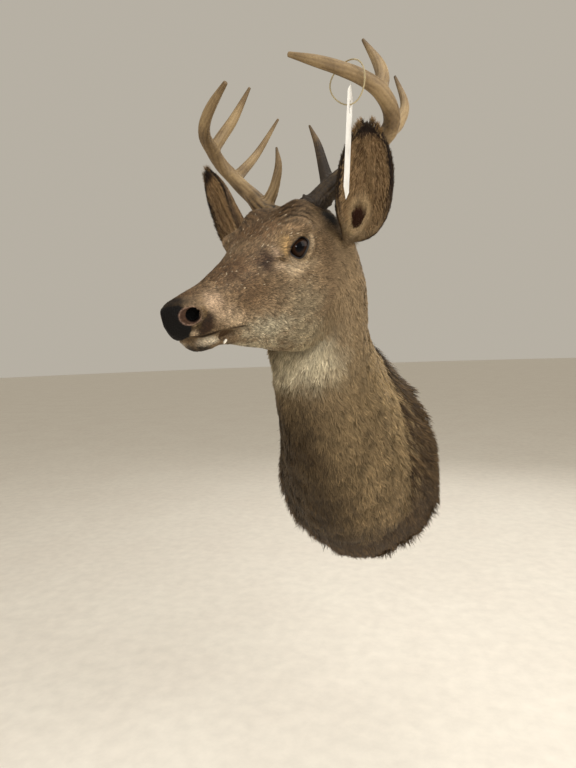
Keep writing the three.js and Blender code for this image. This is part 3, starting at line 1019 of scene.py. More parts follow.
# ---------------------------------------------------------------- eyes
@dataclass(frozen=True)
class Eye:
    """Glass ball, its opening between the lids, the lids' dark rim and the lashes, drawn on the left side."""

    centre: Point = (-204, 51, 51.5)
    radius: float = 17.0
    lid: float = 1.5
    looks: Point = (0.785, 0.618, 0.01)
    half_length: float = 14.1
    half_height: float = 9.7
    tilt: float = 49.6
    power: float = 2.8
    egg: float = -0.17

    def axes(self) -> tuple[Array, Array, Array]:
        """Way the opening looks, and the long and short ways of its oval, in the head frame.

        Returns:
            Three unit ways in the head frame.
        """
        look = unit(np.array(self.looks, float))
        up = square_to(np.array([0, 0, 1.0]), look)
        rear = -np.cross(look, up) if np.cross(look, up)[0] > 0 else np.cross(look, up)
        turn = math.radians(self.tilt)
        return look, rear * math.cos(turn) + up * math.sin(turn), up * math.cos(turn) - rear * math.sin(turn)

    def flat(self, p: Array) -> tuple[Array, Array, Array]:
        """Height over the centre, and long and short coordinates, of points of the head frame's left side.

        Args:
            p: the points.

        Returns:
            The two measures.
        """
        look, long, short = self.axes()
        q = p - np.array(self.centre)
        return q @ look, q @ long, q @ short

    def oval(self, angle: Array, grow: float = 0.0) -> tuple[Array, Array]:
        """Long and short coordinates of the opening's edge: a superellipse, narrower to its upper rear end.

        Args:
            angle: angles round the opening.
            grow: how far outside its edge.

        Returns:
            The long and the short measure.
        """
        c, s = np.cos(angle), np.sin(angle)
        long = np.sign(c) * np.abs(c) ** (2 / self.power)
        short = np.sign(s) * np.abs(s) ** (2 / self.power) * (1 + self.egg * long)
        return long * (self.half_length + grow), short * (self.half_height + grow)

    def opening(self, p: Array) -> Array:
        """About the distance outside the opening's edge, below 0 within, at points of the head frame's left side.

        Args:
            p: the points.

        Returns:
            The distances.
        """
        _, long, short = self.flat(p)
        long = long / self.half_length
        short = short / (self.half_height * (1 + self.egg * np.clip(long, -1.5, 1.5)))
        size = (np.abs(long) ** self.power + np.abs(short) ** self.power) ** (1 / self.power)
        return (size - 1) * (self.half_height + self.half_length) / 2

    def on_ball(self, long: Array, short: Array, radius: float) -> Array:
        """Points of the head frame over flat coordinates, on a ball of some radius round the centre.

        Args:
            long: measures along the opening.
            short: measures across it.
            radius: the ball's radius.

        Returns:
            Points of the head frame.
        """
        look, way_long, way_short = self.axes()
        rise = np.sqrt(np.maximum(radius**2 - long**2 - short**2, 0.0))
        over = look * rise[..., None]
        return np.array(self.centre) + over + way_long * long[..., None] + way_short * short[..., None]


EYE = Eye()


# ---------------------------------------------------------------- the skin
@dataclass(frozen=True)
class Warp:
    """Grid on which the skin is worked out: fine round the head, coarse on the neck and shoulders."""

    fine: float = 1.35
    coarse: float = 4.0
    low: Point = (-204, -590, -232)
    seam: Point = (-204, -236, 180)
    high: Point = (176, 8, 512)

    def knots(self, axis: int) -> tuple[Array, Array]:
        """Places along an axis and the grid numbers that they have.

        Args:
            axis: 0, 1 or 2.

        Returns:
            The places and the grid numbers.
        """
        places = [self.low[axis], self.seam[axis], self.high[axis]]
        if axis == 0:
            places = [self.low[0], self.high[0]]
            return np.array(places), np.array([0, (places[1] - places[0]) / self.fine])
        steps = [self.fine, self.coarse] if axis == 1 else [self.coarse, self.fine]
        first = math.ceil((places[1] - places[0]) / steps[0])
        return np.array(places), np.array([0, first, first + (places[2] - places[1]) / steps[1]])

    def shape(self) -> tuple[int, int, int]:
        """How many grid points there are along each axis."""
        return tuple(int(self.knots(a)[1][-1]) + 1 for a in range(3))

    def number(self, p: Array) -> Array:
        """Grid numbers of points."""
        return np.stack([np.interp(p[..., a], *self.knots(a)) for a in range(3)], -1)

    def place(self, n: Array) -> Array:
        """Points of grid numbers."""
        return np.stack([np.interp(n[..., a], *self.knots(a)[::-1]) for a in range(3)], -1)

    def block(self, low: Array, high: Array) -> tuple[tuple[slice, slice, slice], Array]:
        """Slices of the grid that hold a box, and the places of its grid points.

        Args:
            low: the box's low corner.
            high: its high corner.

        Returns:
            The slices that cut it from the grid, and its points.
        """
        shape = self.shape()
        a = np.clip(np.floor(self.number(low)).astype(int), 0, np.array(shape) - 2)
        b = np.clip(np.ceil(self.number(high)).astype(int) + 1, 1, np.array(shape))
        cut = tuple(slice(i, j) for i, j in zip(a, b))
        axes = [np.interp(np.arange(i, j), *self.knots(k)[::-1]) for k, (i, j) in enumerate(zip(a, b))]
        return cut, np.stack(np.meshgrid(*axes, indexing="ij"), -1)


def level_set(points: Array, quads: Array, triangles: Array, shape: tuple[int, int, int], width: float = 6.0) -> Array:
    """Signed distance, in grid steps, of a closed mesh given in grid numbers.

    Args:
        points: the mesh's points, in grid steps.
        quads: its quads.
        triangles: its triangles.
        shape: the grid's size.
        width: how far out the distance is kept, in grid steps.

    Returns:
        The grid of distances, below 0 inside.
    """
    grid = vdb.FloatGrid.createLevelSetFromPolygons(
        points.astype(np.float64),
        triangles=triangles.astype(np.uint32) if len(triangles) else None,
        quads=quads.astype(np.uint32) if len(quads) else None,
        transform=vdb.createLinearTransform(1.0),
        halfWidth=width,
    )
    out = np.empty(shape, np.float32)
    grid.copyToArray(out)
    return out


def surface_of(volume: Array) -> tuple[Array, Array]:
    """Points in grid numbers and quads of a volume's zero level.

    Args:
        volume: the grid of distances.

    Returns:
        Points in grid steps, and quads.
    """
    grid = vdb.FloatGrid(6.0)
    grid.copyFromArray(volume)
    grid.transform = vdb.createLinearTransform(1.0)
    points, quads = grid.convertToQuads()
    return points.astype(float), quads.astype(int)


def join(a: Array, b: Array, soft: float) -> Array:
    """Smooth union of two distances: their minimum, rounded over a width."""
    h = np.clip(0.5 + 0.5 * (b - a) / soft, 0, 1)
    return b + (a - b) * h - soft * h * (1 - h)


def carve(a: Array, b: Array, soft: float) -> Array:
    """Smooth difference: what lies in a and not in b."""
    return -join(-a, b, soft)


@dataclass
class Skin:
    """The one skin of head, ears, neck and shoulders, inside the coat, with its openings drawn in the head frame."""

    body: Body
    ears: tuple[Ear, ...]
    eye: Eye
    most: int = 190000
    nostril_at: Point = (-20.5, 23.5, -9.0)
    nostril_way: Point = (0.62, 0.78, -0.08)
    nostril_size: tuple[float, float] = (8.6, 7.9)
    wing_at: Point = (-17.5, 21.5, -9.5)
    wing_size: tuple[float, float] = (12.5, 10.2)
    mouth: tuple[Point, ...] = (
        (-17, 0, -36), (-18, 12, -34.5), (-25, 19, -35), (-32, 24, -35.5), (-43, 27, -34.5), (-57, 28, -34),
        (-72, 28, -34), (-86, 29, -34), (-104, 31, -34.5),
    )
    crack_at: Point = (-69, 25, -39.5)
    crack_size: Point = (15, 12, 6.2)
    tear_at: Point = (-163, 46, 40)
    tear_way: Point = (0.93, 0, 0.37)
    tear_size: Point = (8.5, 9, 1.7)
    canal_size: Point = (10.5, 4.4, 2.2)
    stump: float = 13.2
    nose_front: Point = (-6, 0, -14)
    nose_rounds: int = 7
    nose_room: float = 3.0
    warp: Warp = field(default_factory=Warp)

    def from_mouth(self, q: Array) -> tuple[Array, Array]:
        """Distance from the mouth's line, weighted so that it holds through the lips' thickness, and the line's x.

        Args:
            q: points of the head frame's left side.

        Returns:
            The distances, and how far forward the line is there.
        """
        line = curve(self.mouth, np.linspace(0, len(self.mouth) - 1, 160))
        across = np.array([1.0, 0.25, 1.0])
        i, gap = nearest((q * across).reshape(-1, 3), line * across)
        return gap.reshape(q.shape[:-1]), line[i, 0].reshape(q.shape[:-1])

    def crack(self, q: Array) -> Array:
        """Distance from the middle of the parted lips over the gap's size."""
        return np.linalg.norm((q - np.array(self.crack_at)) / np.array(self.crack_size), axis=-1)

    def volume(self) -> Array:
        """Signed distance in millimetres round the head: body and ears joined softly, then lids, nostrils and mouth.

        Returns:
            The volume, in millimetres.
        """
        warp = self.warp
        shape = warp.shape()
        points, quads, triangles = self.body.skin_mesh()
        volume = level_set(warp.number(points), quads, triangles, shape) * warp.fine
        for ear in self.ears:
            points, quads, triangles = ear.mesh()
            cut, _ = warp.block(points.min(0) - 16, points.max(0) + 16)
            start = np.array([c.start for c in cut])
            size = tuple(c.stop - c.start for c in cut)
            leaf = level_set(warp.number(points) - start, quads, triangles, size) * warp.fine
            volume[cut] = join(volume[cut], leaf, 7.0)
            self.cut_canal(volume, ear)
        for side in Side:
            self.add_lids(volume, side)
            self.cut_nostril(volume, side)
            self.cut_tear(volume, side)
            self.add_pedicle(volume, side)
        self.cut_mouth(volume)
        self.shape_nose(volume)
        return volume

    def around(self, at: Array | Point, side: Side, reach: float) -> tuple[tuple[slice, ...], Array]:
        """Block of the grid round a point of the head, and its places in the head frame, turned to the left side.

        Args:
            at: a place on the head's left.
            side: which side of the deer.
            reach: half the box's side.

        Returns:
            The slices that cut the box from the grid, and its points in the head frame's left side.
        """
        middle = HEAD.out(side.flip(at))
        cut, p = self.warp.block(middle - reach, middle + reach)
        return cut, side.flip(HEAD.back(p))

    def add_lids(self, volume: Array, side: Side) -> None:
        """Lids as a thin ball over the eye, joined softly to the face and cut open along the oval.

        Args:
            volume: the skin's volume, changed in place.
            side: which side of the deer.
        """
        cut, p = self.around(self.eye.centre, side, 30)
        height, _, _ = self.eye.flat(p)
        ball = np.linalg.norm(p - np.array(self.eye.centre), axis=-1) - (self.eye.radius + self.eye.lid)
        lids = join(volume[cut], ball, 7.0)
        hole = np.maximum(self.eye.opening(p), 2.0 - height)
        volume[cut] = carve(lids, hole, 1.3)

    def cut_nostril(self, volume: Array, side: Side) -> None:
        """Nostril as a short pit with a swollen wing round it.

        Args:
            volume: the skin's volume, changed in place.
            side: which side of the deer.
        """
        way = self.nostril_axes()[0]
        cut, p = self.around(self.nostril_at, side, 26)
        ring = (self.oval(p, self.wing_at, self.wing_size) - 1) * 11
        wing = np.hypot(ring, (p - np.array(self.wing_at)) @ way + 0.4) - 1.5
        hole = (self.oval(p, self.nostril_at, self.nostril_size) - 1) * 8
        pit = np.maximum(hole, -((p - np.array(self.nostril_at)) @ way) - 12)
        volume[cut] = carve(join(volume[cut], wing, 3.0), pit, 2.2)

    def cut_tear(self, volume: Array, side: Side) -> None:
        """Slit of the tear gland in front of the eye.

        Args:
            volume: the skin's volume, changed in place.
            side: which side of the deer.
        """
        cut, p = self.around(self.tear_at, side, 20)
        ahead, _, rise = self.tear_way
        d = (p - np.array(self.tear_at)) @ np.array([[ahead, 0, -rise], [0, 1, 0], [rise, 0, ahead]])
        slit = (np.linalg.norm(d / np.array(self.tear_size), axis=-1) - 1) * self.tear_size[2]
        volume[cut] = carve(volume[cut], np.maximum(slit, -(volume[cut] + 2.6)), 1.2)

    def cut_canal(self, volume: Array, ear: Ear) -> None:
        """Opening of the ear: an upright hollow low in the cup.

        Args:
            volume: the skin's volume, changed in place.
            ear: the ear.
        """
        middle = ear.sheet(np.array([ear.canal[0]]), np.array([ear.canal[1]]), 1.0)[0, 0]
        cut, p = self.warp.block(middle - 18, middle + 18)
        along, across, look = ear.ways(*(v[0] for v in ear.frame_at(np.array([ear.canal[0]]))[1:]))
        d = p - middle
        d = np.stack([d @ way / size for way, size in zip((along, across, look), self.canal_size)], -1)
        volume[cut] = carve(volume[cut], (np.linalg.norm(d, axis=-1) - 1) * self.canal_size[2], 1.0)

    def nostril_axes(self) -> tuple[Array, Array, Array]:
        """Way the nostril looks, and the ways to its rear and up.

        Returns:
            Three unit ways.
        """
        way = unit(np.array(self.nostril_way))
        up = square_to(np.array([0, 0, 1.0]), way)
        return way, np.cross(up, way), up

    def oval(self, p: Array, at: Point, size: tuple[float, float]) -> Array:
        """Distance from the axis of an oval about the nostril over its size, at points of the head's left side.

        Args:
            p: points of the head frame's left side.
            at: the oval's middle.
            size: its half lengths.

        Returns:
            1 at the edge, less within.
        """
        _, rear, up = self.nostril_axes()
        q = p - np.array(at)
        return np.hypot((q @ rear) / size[0], (q @ up) / size[1])

    def add_pedicle(self, volume: Array, side: Side) -> None:
        """Skin that climbs the stump of the antler up to its burr.

        Args:
            volume: the skin's volume, changed in place.
            side: which side of the deer.
        """
        a, b = np.array(BEAM.at[0], float), np.array(BEAM.at[1], float)
        a, b = a - (b - a) * 0.6, a + (b - a) * 0.35
        cut, p = self.around(b, side, 44)
        t = np.clip(((p - a) @ (b - a)) / ((b - a) @ (b - a)), 0, 1)
        stump = np.linalg.norm(p - (a + t[..., None] * (b - a)), axis=-1) - self.stump
        volume[cut] = join(volume[cut], stump, 9.0)

    def cut_mouth(self, volume: Array) -> None:
        """Closed mouth as a narrow groove under the upper lip, with a wider dark gap near its rear.

        Args:
            volume: the skin's volume, changed in place.
        """
        box = HEAD.out(np.array([[x, y, z] for x in (-125, 0) for y in (-45, 45) for z in (-50, -10)]))
        cut, p = self.warp.block(box.min(0), box.max(0))
        q = left_side(HEAD.back(p))
        gap, x = self.from_mouth(q)
        width = 1.5 - 1.1 * ease((-88 - x) / 14)
        deep = -(volume[cut] + 4.5)
        slit = carve(volume[cut], np.maximum(gap - width, deep), 1.0)
        crack = (self.crack(q) - 1) * 5.0
        volume[cut] = carve(slit, np.maximum(crack, deep), 1.4)

    def shape_nose(self, volume: Array) -> None:
        """Rounds the front of the nose by averaging the distances near it, over and over.

        Args:
            volume: the skin's volume, changed in place.
        """
        cut, p = self.around(self.nose_front, Side.LEFT, 34)
        q = HEAD.back(p)
        weight = (ease((q[..., 0] + 22) / 12) * 0.9).astype(np.float32)
        part = volume[cut]
        for _ in range(self.nose_rounds):
            mean = sum(np.roll(part, s, a) for a in range(3) for s in (-1, 1)) / 6
            part = part + (mean - part) * weight
        volume[cut] = part

    def build(self) -> bpy.types.Object:
        """Meshes the volume and thins it to its limit.

        Returns:
            The skin's object.
        """
        n, quads = surface_of(self.volume() / self.warp.fine)
        made = make_object("skin", self.warp.place(n), quads[:, ::-1])
        turn_outward(made)
        triangles = len(triangles_of(made))
        LOG.info("skin as meshed: %d triangles", triangles)
        if triangles > self.most:
            thin = made.modifiers.new("thin", "DECIMATE")
            thin.ratio = self.most / triangles
            bpy.context.view_layer.update()
            cut = bpy.data.meshes.new_from_object(made.evaluated_get(bpy.context.evaluated_depsgraph_get()))
            made.modifiers.clear()
            made.data = cut
            cut.name = "skin"
        self.wrinkle(made)
        return made

    def wrinkle(self, obj: bpy.types.Object) -> None:
        """Raises low ridges where hair is parted, and eases the nose's front back inside the hide's own box.

        Args:
            obj: the skin's object.
        """
        p, normal = points_of(obj)
        rise = (Markings().furrows(left_side(HEAD.back(p)), patchiness(p)) - 1) * 0.75
        p = p + normal * rise[:, None]
        past = np.maximum(CAD_BOX[0][1] / MM + self.nose_room - p[:, 1], 0)
        p[:, 1] += past - self.nose_room * (1 - np.exp(-past / self.nose_room))
        move_points(obj, p)


# ---------------------------------------------------------------- antlers' measures, which the skin's stumps share
@dataclass(frozen=True)
class Stem:
    """A tapering stem: axis points in the head frame's left side and its radius at each."""

    at: tuple[Point, ...]
    radius: tuple[float, ...]

    def tube(self, side: Side, steps: int, sides: int, scale: float) -> tuple[Array, Array, Array]:
        """Closed tube along the stem: a circle carried along a Catmull-Rom line, rounded over at both ends.

        Args:
            side: which side of the deer.
            steps: rings along it.
            sides: points round each ring.
            scale: what its radius is multiplied by.

        Returns:
            Points in the wall frame, quads and the triangles that close the ends.
        """
        place = np.linspace(0, len(self.at) - 1, steps)
        centre = HEAD.out(side.flip(curve(self.at, place)))
        radius = curve(self.radius, place) * scale
        ahead = unit(np.gradient(centre, axis=0))
        across = np.empty_like(ahead)
        way = np.cross(HEAD.way([0.3, 0.2 * side.value, 1.0]), ahead[0])
        for i, forward in enumerate(ahead):
            way = square_to(way, forward)
            across[i] = way
        p = centre[:, None] + circles(across, np.cross(ahead, across), sides) * radius[:, None, None]
        root = centre[:1] - ahead[:1] * radius[0] * 0.4
        tip = centre[-1:] + ahead[-1:] * radius[-1] * 0.5
        points = np.concatenate([p.reshape(-1, 3), root, tip])
        return points, grid_faces(steps, sides, round_columns=True), end_fans(steps, sides)


BEAM = Stem(
    (
        (-264, 22, 93), (-269, 37, 106), (-279, 59, 124), (-296, 87, 145), (-312, 119, 167), (-320, 143, 189),
        (-308, 152, 209), (-288, 149, 230), (-265, 138, 245), (-249, 118, 259), (-240, 90, 275), (-235, 55, 293),
    ),
    (15.5, 15.5, 15, 13, 12.5, 12, 11.5, 11, 10, 9, 7.5, 3.8),
)
SECOND = Stem(((-319, 140, 184), (-350, 143, 200), (-390, 136, 231), (-425, 110, 281)), (10.5, 9, 6.5, 2.4))
THIRD = Stem(((-290, 149, 229), (-312, 144, 251), (-332, 130, 277), (-350, 103, 318)), (10, 9.5, 8, 2.6))
BROW = {
    Side.LEFT: Stem(((-284, 60, 126), (-290, 52, 152), (-297, 42, 190), (-299, 31, 220)), (12, 9, 6, 2)),
    Side.RIGHT: Stem(((-284, 54, 126), (-286, 37, 148), (-287, 24, 176), (-292, 26, 204)), (11, 8, 6, 2)),
}
BURR = Stem(((-267, 31, 100), (-268, 34, 103), (-269.5, 38, 107), (-271.5, 42, 111)), (16.5, 20.5, 19.5, 16.5))
SPIKE = Stem(((-268, 39, 104), (-266, 38, 108), (-258, 32, 124)), (6.5, 5.5, 1.8))


@dataclass
class Antler:
    """One antler: beam, three tines and burr grown together, grooved and pearled."""

    side: Side
    steps: int = 90
    sides: int = 28
    shrink: float = 0.985
    voxel: float = 1.2
    groove: float = 0.55
    pearl: float = 1.5
    left_darkening: float = 0.75

    def stems(self) -> list[Stem]:
        """The stems that it is made of, beam first."""
        extra = [SPIKE] if self.side is Side.LEFT else []
        return [BEAM, BURR, BROW[self.side], SECOND, THIRD, *extra]

    def build(self) -> bpy.types.Object:
        """Joins the stems softly in one volume and meshes it.

        Returns:
            The antler's object.
        """
        parts = [stem.tube(self.side, self.steps, self.sides, self.shrink) for stem in self.stems()]
        everything = np.concatenate([p for p, _, _ in parts])
        low = everything.min(0) - 8
        shape = tuple(int(v) for v in np.ceil((everything.max(0) + 8 - low) / self.voxel))
        volume = None
        for p, quads, triangles in parts:
            one = level_set((p - low) / self.voxel, quads, triangles, shape, 5.0)
            volume = one if volume is None else join(volume, one, 3.2)
        n, quads = surface_of(volume)
        made = make_object(f"antler_{self.side.word}", n * self.voxel + low, quads[:, ::-1])
        turn_outward(made)
        self.weather(made)
        return made

    def samples(self, number: int, stem: Stem, count: int = 70) -> Array:
        """Rows along a stem's axis: place in the wall frame, the stem's number, share of its length and way ahead.

        Args:
            number: the stem's number.
            stem: the stem.
            count: how many rows.

        Returns:
            The rows.
        """
        share = np.linspace(0, len(stem.at) - 1, count) / (len(stem.at) - 1)
        centre = HEAD.out(self.side.flip(curve(stem.at, np.linspace(0, len(stem.at) - 1, count))))
        return np.column_stack([centre, np.full(count, number), share, np.gradient(centre, axis=0)])

    def weather(self, obj: bpy.types.Object) -> None:
        """Grooves along the beam, pearls at burr and base, and a tone from dark base to pale tips.

        Args:
            obj: the antler's object.
        """
        p, normal = points_of(obj)
        rows = np.concatenate([self.samples(number, stem) for number, stem in enumerate(self.stems())])
        i, gap = nearest(p, rows[:, :3])
        number, along, ahead = rows[i, 3], rows[i, 4], unit(rows[i, 5:8])
        out = unit(p - rows[i, :3])
        first = unit(np.cross(ahead, HEAD.way([0.3, 0.2, 1.0])))
        angle = np.arctan2((out * np.cross(ahead, first)).sum(1), (out * first).sum(1))
        height = HEAD.back(p)[:, 2]
        base = ease((175 - height) / 75)
        wander = ripple(p, 60, 3) * 1.2
        grooves = np.clip(np.sin(angle * 9 + wander) + 0.6 * np.sin(angle * 14 - wander * 1.7), -2, 0.4)
        burr = np.exp(-((nearest(p, rows[rows[:, 3] == 1, :3])[1] - 19) / 6) ** 2) * ease((122 - height) / 8)
        pearls = np.abs(ripple(p, 6.5, 5)) * burr * self.pearl + np.abs(ripple(p, 9, 6)) * base * 0.7
        shift = grooves * self.groove * (0.35 + 0.65 * base) * (gap > 3.5) + pearls - 0.35 * (1 - burr)
        move_points(obj, p + normal * shift[:, None])
        tip = np.where(number == 0, ease((along - 0.9) / 0.1), ease((along - 0.72) / 0.28)) * (number != 1)
        tone = 0.5 + 0.16 * ripple(p, 45, 8) - 0.34 * base + 0.2 * np.clip(grooves + 0.4, -1, 1) * (0.4 + base)
        tone = tone + 0.12 * (number >= 3) - 0.3 * tip * (number > 0)
        # The left antler is darker still at its foot and over the lower part of its brow tine.
        darkened = np.where(number == 2, 1.0 - ease((along - 0.45) / 0.35), base * 1.05)
        tone = tone - (self.left_darkening if self.side is Side.LEFT else 0.0) * darkened
        paint(obj, "tone", np.clip(tone, 0, 1))


# ---------------------------------------------------------------- markings
@dataclass(frozen=True)
class Mark:
    """A patch of colour on the head, mirrored, fading out over its size in the head frame."""

    colour: Colour
    at: Point
    size: Point
    strength: float

    def amount(self, p: Array, wobble: Array) -> Array:
        """How far the colour covers points of the head frame's left side: exp of minus the cube of the distance."""
        d = np.sqrt((((p - np.array(self.at)) / np.array(self.size)) ** 2).sum(-1)) + wobble * 0.18
        return self.strength * np.exp(-(np.maximum(d, 0) ** 3))


@dataclass(frozen=True)
class Markings:
    """Colours of the coat all over, from the head frame and the place along the body, and those of the bare parts.

    The marks lie one over the other in their order. The pairs of colours are the two ends between which hairs vary.
    """

    face: Colour = (108, 89, 66)
    nape: Colour = (132, 112, 85)
    neck: Colour = (128, 109, 82)
    # Dark brisket colour; where it is laid on in full on one side of the neck, it also stands for painted shade.
    front: Colour = (60, 47, 30)
    shoulder: Colour = (142, 121, 88)
    fringe: Colour = (58, 44, 28)
    marks: tuple[Mark, ...] = (
        # muzzle's ridge, forehead, crown and muzzle's side
        Mark((74, 54, 34), (-98, 12, 36), (60, 28, 22), 0.95),
        Mark((84, 62, 40), (-166, 12, 84), (38, 38, 20), 0.9),
        Mark((70, 52, 33), (-206, 22, 106), (36, 42, 20), 0.92),
        Mark((86, 66, 45), (-112, 35, 6), (32, 14, 22), 0.8),
        Mark((50, 33, 19), (-142, 37, 42), (12, 12, 17), 1.0),
        # cheek, and the jaw's side and underside
        Mark((118, 106, 85), (-190, 58, -22), (42, 30, 32), 0.8),
        Mark((154, 145, 123), (-134, 34, -44), (44, 22, 18), 0.92),
        Mark((138, 127, 104), (-205, 40, -62), (46, 32, 22), 0.85),
        Mark((170, 160, 136), (-115, 0, -66), (75, 26, 13), 0.85),
        # pale hair behind the nostril, then the nose's top and the dark lip
        Mark((168, 144, 118), (-51, 26, 1), (15, 15, 14), 0.95),
        Mark((160, 138, 112), (-66, 29, -15), (15, 14, 12), 0.95),
        Mark((158, 138, 112), (-84, 30, -24), (16, 13, 10), 0.9),
        Mark((82, 61, 41), (-26, 0, 15), (28, 16, 9), 0.9),
        Mark((112, 88, 52), (-32, 27, -12), (6, 10, 9), 0.85),
        Mark((86, 74, 40), (-24, 24, -22), (6, 8, 4), 0.8),
        Mark((36, 21, 9), (-35, 26, -20), (11, 12, 12), 1.0),
        Mark((36, 21, 9), (-31, 24, -27), (15, 12, 6.5), 1.0),
        Mark((28, 21, 15), (-13, 4, 7), (12, 15, 8), 0.95),
        Mark((168, 148, 122), (-19.5, 18, -30), (4.5, 6, 3.5), 0.85),
        # chin
        Mark((200, 188, 166), (-41, 20, -42), (12.5, 16, 4.8), 1.0),
        Mark((26, 20, 14), (-32, 4, -53), (15, 20, 10), 1.0),
        # round the eye, and the tear pit
        Mark((162, 143, 116), (-178, 54, 26), (16, 13, 9), 0.95),
        Mark((142, 123, 97), (-204, 62, 30), (20, 14, 9), 0.7),
        Mark((128, 105, 79), (-188, 60, 80), (15, 13, 8), 0.75),
        Mark((138, 112, 74), (-171, 50, 54), (8, 11, 13), 0.95),
        Mark((150, 127, 104), (-157, 44, 51), (6, 8, 7), 0.8),
        Mark((156, 134, 108), (-157, 46, 31), (8, 9, 5), 0.85),
        Mark((58, 40, 20), (-163, 47, 40), (7, 9, 3.2), 1.0),
        # the ear's foot and the throat
        Mark((84, 67, 47), (-240, 68, 46), (18, 22, 24), 0.85),
        Mark((22, 15, 10), (-266, 64, 88), (18, 20, 15), 1.0),
        Mark((186, 174, 146), (-246, 16, -104), (52, 38, 32), 1.0),
    )
    pad: Colour = (12, 10, 9)
    rim: Colour = (150, 122, 106)
    wing: Colour = (58, 40, 29)
    # Near black of the nostril's hole: painted shade, as deep in the nose.
    hole: Colour = (5, 4, 5)
    lip: Colour = (30, 21, 15)
    gap: Colour = (62, 46, 30)
    lid_pale: Colour = (150, 132, 106)
    ear_back: Colour = (112, 90, 64)
    ear_back_edge: Colour = (50, 36, 24)
    ear_inside: Colour = (122, 98, 68)
    ear_low: Colour = (152, 130, 98)
    ear_streak: Colour = (66, 46, 27)
    ear_ring: Colour = (168, 144, 108)
    ear_canal: Colour = (46, 22, 12)
    ear_rim: Colour = (27, 15, 8)
    ear_lit: tuple[float, float] = (1.0, 1.45)
    ear_long: tuple[Colour, Colour] = ((160, 132, 96), (24, 15, 9))
    ear_brush: Colour = (112, 86, 52)
    fringe_hair: tuple[Colour, Colour] = ((40, 29, 18), (94, 74, 48))
    dust: Colour = (190, 176, 150)
    dusty: float = 0.012

    def colours(self, p: Array, place: Array, angle: Array, skin: "Skin") -> tuple[Array, Array]:
        """Colour and bareness of points.

        Args:
            p: points in the wall frame.
            place: their places along the body.
            angle: their angles round it.
            skin: the skin, for its nostrils and mouth.

        Returns:
            Linear colours, and 0 where hair grows to 1 where the skin is bare.
        """
        q = left_side(HEAD.back(p))
        wobble = patchiness(p)
        broad = ripple(p, 70, 13)[:, None]
        under = ease((0.25 - np.sin(angle)) / 0.8)[:, None]
        down = ease((place - 14.3) / 2.4)[:, None]
        out = blend(linear(self.nape), linear(self.neck), ease((place - 13.5) / 2)[:, None])
        out = blend(out, linear(self.shoulder), ease((place - 15.0) / 1.6)[:, None])
        # Painted shade: the dark brisket under the neck and chest is laid on at half strength on one side and in full
        # on the other, the side away from the light.
        far = ease((np.cos(angle) + 0.55) / 0.7)[:, None]
        out = blend(out, linear(self.front), down * under * np.clip(0.5 + 0.5 * far + 0.06 * broad, 0, 1))
        out = blend(linear(self.face), out, ease((place - 11.5) / 2.5)[:, None])
        for mark in self.marks:
            out = blend(out, linear(mark.colour), mark.amount(q, wobble)[:, None])
        edge = ease((place - self.band(angle) + 0.2 * wobble + 0.15) / 0.75)[:, None]
        shadow = 1 - 0.35 * ease((np.cos(angle) - 0.2) / 0.6)[:, None]
        out = blend(out, linear(self.fringe) * shadow, edge * 0.92)
        opening = skin.eye.opening(q)
        out = blend(out, linear(self.lid_pale), self.lid_band(q, opening)[:, None])
        # Arcs of parted hair: the colour is paler where the skin is raised in ridges and darker in the furrows, painted
        # light and shade as well as the hair's own lines.
        out = out * self.furrows(q, wobble)[:, None]
        bare = np.zeros(len(p))
        for amount, colour in self.bare_parts(q, wobble, skin):
            out = blend(out, linear(colour), amount[:, None])
            bare = np.maximum(bare, amount)
        return out, np.clip(bare, 0, 1)

    def bare_parts(self, q: Array, wobble: Array, skin: "Skin") -> list[tuple[Array, Colour]]:
        """The bare parts in the order that they are laid over the coat.

        The pad reaches back to a slanting line and down over an oval under the nose; the nostril has a dark wing, a
        pale line round it and a near-black hole of painted shade; and the lip and the mouth's open end follow the
        mouth's line.

        Args:
            q: points of the head frame's left side.
            wobble: unevenness of edges there.
            skin: the skin, for its nostrils and mouth.

        Returns:
            For each part how far it covers the points, and its colour.
        """
        pad = ease((q[:, 0] + 15.5 - 0.16 * (q[:, 2] + 14) + 0.3 * wobble) / 1.6) * ease((6.0 - q[:, 2]) / 3)
        pad = np.maximum(pad, ease((1 - np.hypot((q[:, 0] + 11) / 7.5, (q[:, 2] + 25) / 9)) / 0.2))
        pad = pad * ease((q[:, 2] + 38) / 3)
        around = skin.oval(q, skin.wing_at, skin.wing_size)
        inner = skin.oval(q, skin.nostril_at, skin.nostril_size)
        way = skin.nostril_axes()[0]
        near = (np.abs((q - np.array(skin.nostril_at)) @ way) < 15) * 1.0
        wing = ease((1.02 - around) / 0.1) * near
        line = np.exp(-(((around - 0.99) / 0.055) ** 2)) * near * np.clip(0.75 + 0.4 * wobble, 0, 1)
        line = line * ease((q[:, 0] + 32) / 8)
        # The nostril's near-black hole: painted shade of its depth.
        hole = ease((1.08 - inner) / 0.12) * near
        slit = ease((2.0 - skin.from_mouth(q)[0]) / 0.8)
        crack = ease((1.12 - skin.crack(q)) / 0.25)
        return [
            (pad, self.pad), (wing, self.wing), (line * 0.85, self.rim), (crack, self.gap), (slit * 0.95, self.lip),
            (hole, self.hole),
        ]

    def band(self, angle: Array) -> Array:
        """Place where the hide edge's shaggy dark hair begins: well forward above and beside, late at the foot."""
        return 17.5 + 0.75 * ease((0.25 - np.sin(angle)) / 1.1)

    def lid_band(self, q: Array, opening: Array) -> Array:
        """Pale band of short hair close round the eye's rear and underside."""
        rear = ease((-195 - q[:, 0]) / 10) + ease((46 - q[:, 2]) / 8)
        return np.exp(-(((opening - 4.0) / 2.6) ** 2)) * np.clip(rear, 0, 1) * (np.abs(q[:, 1] - 60) < 26) * 0.8

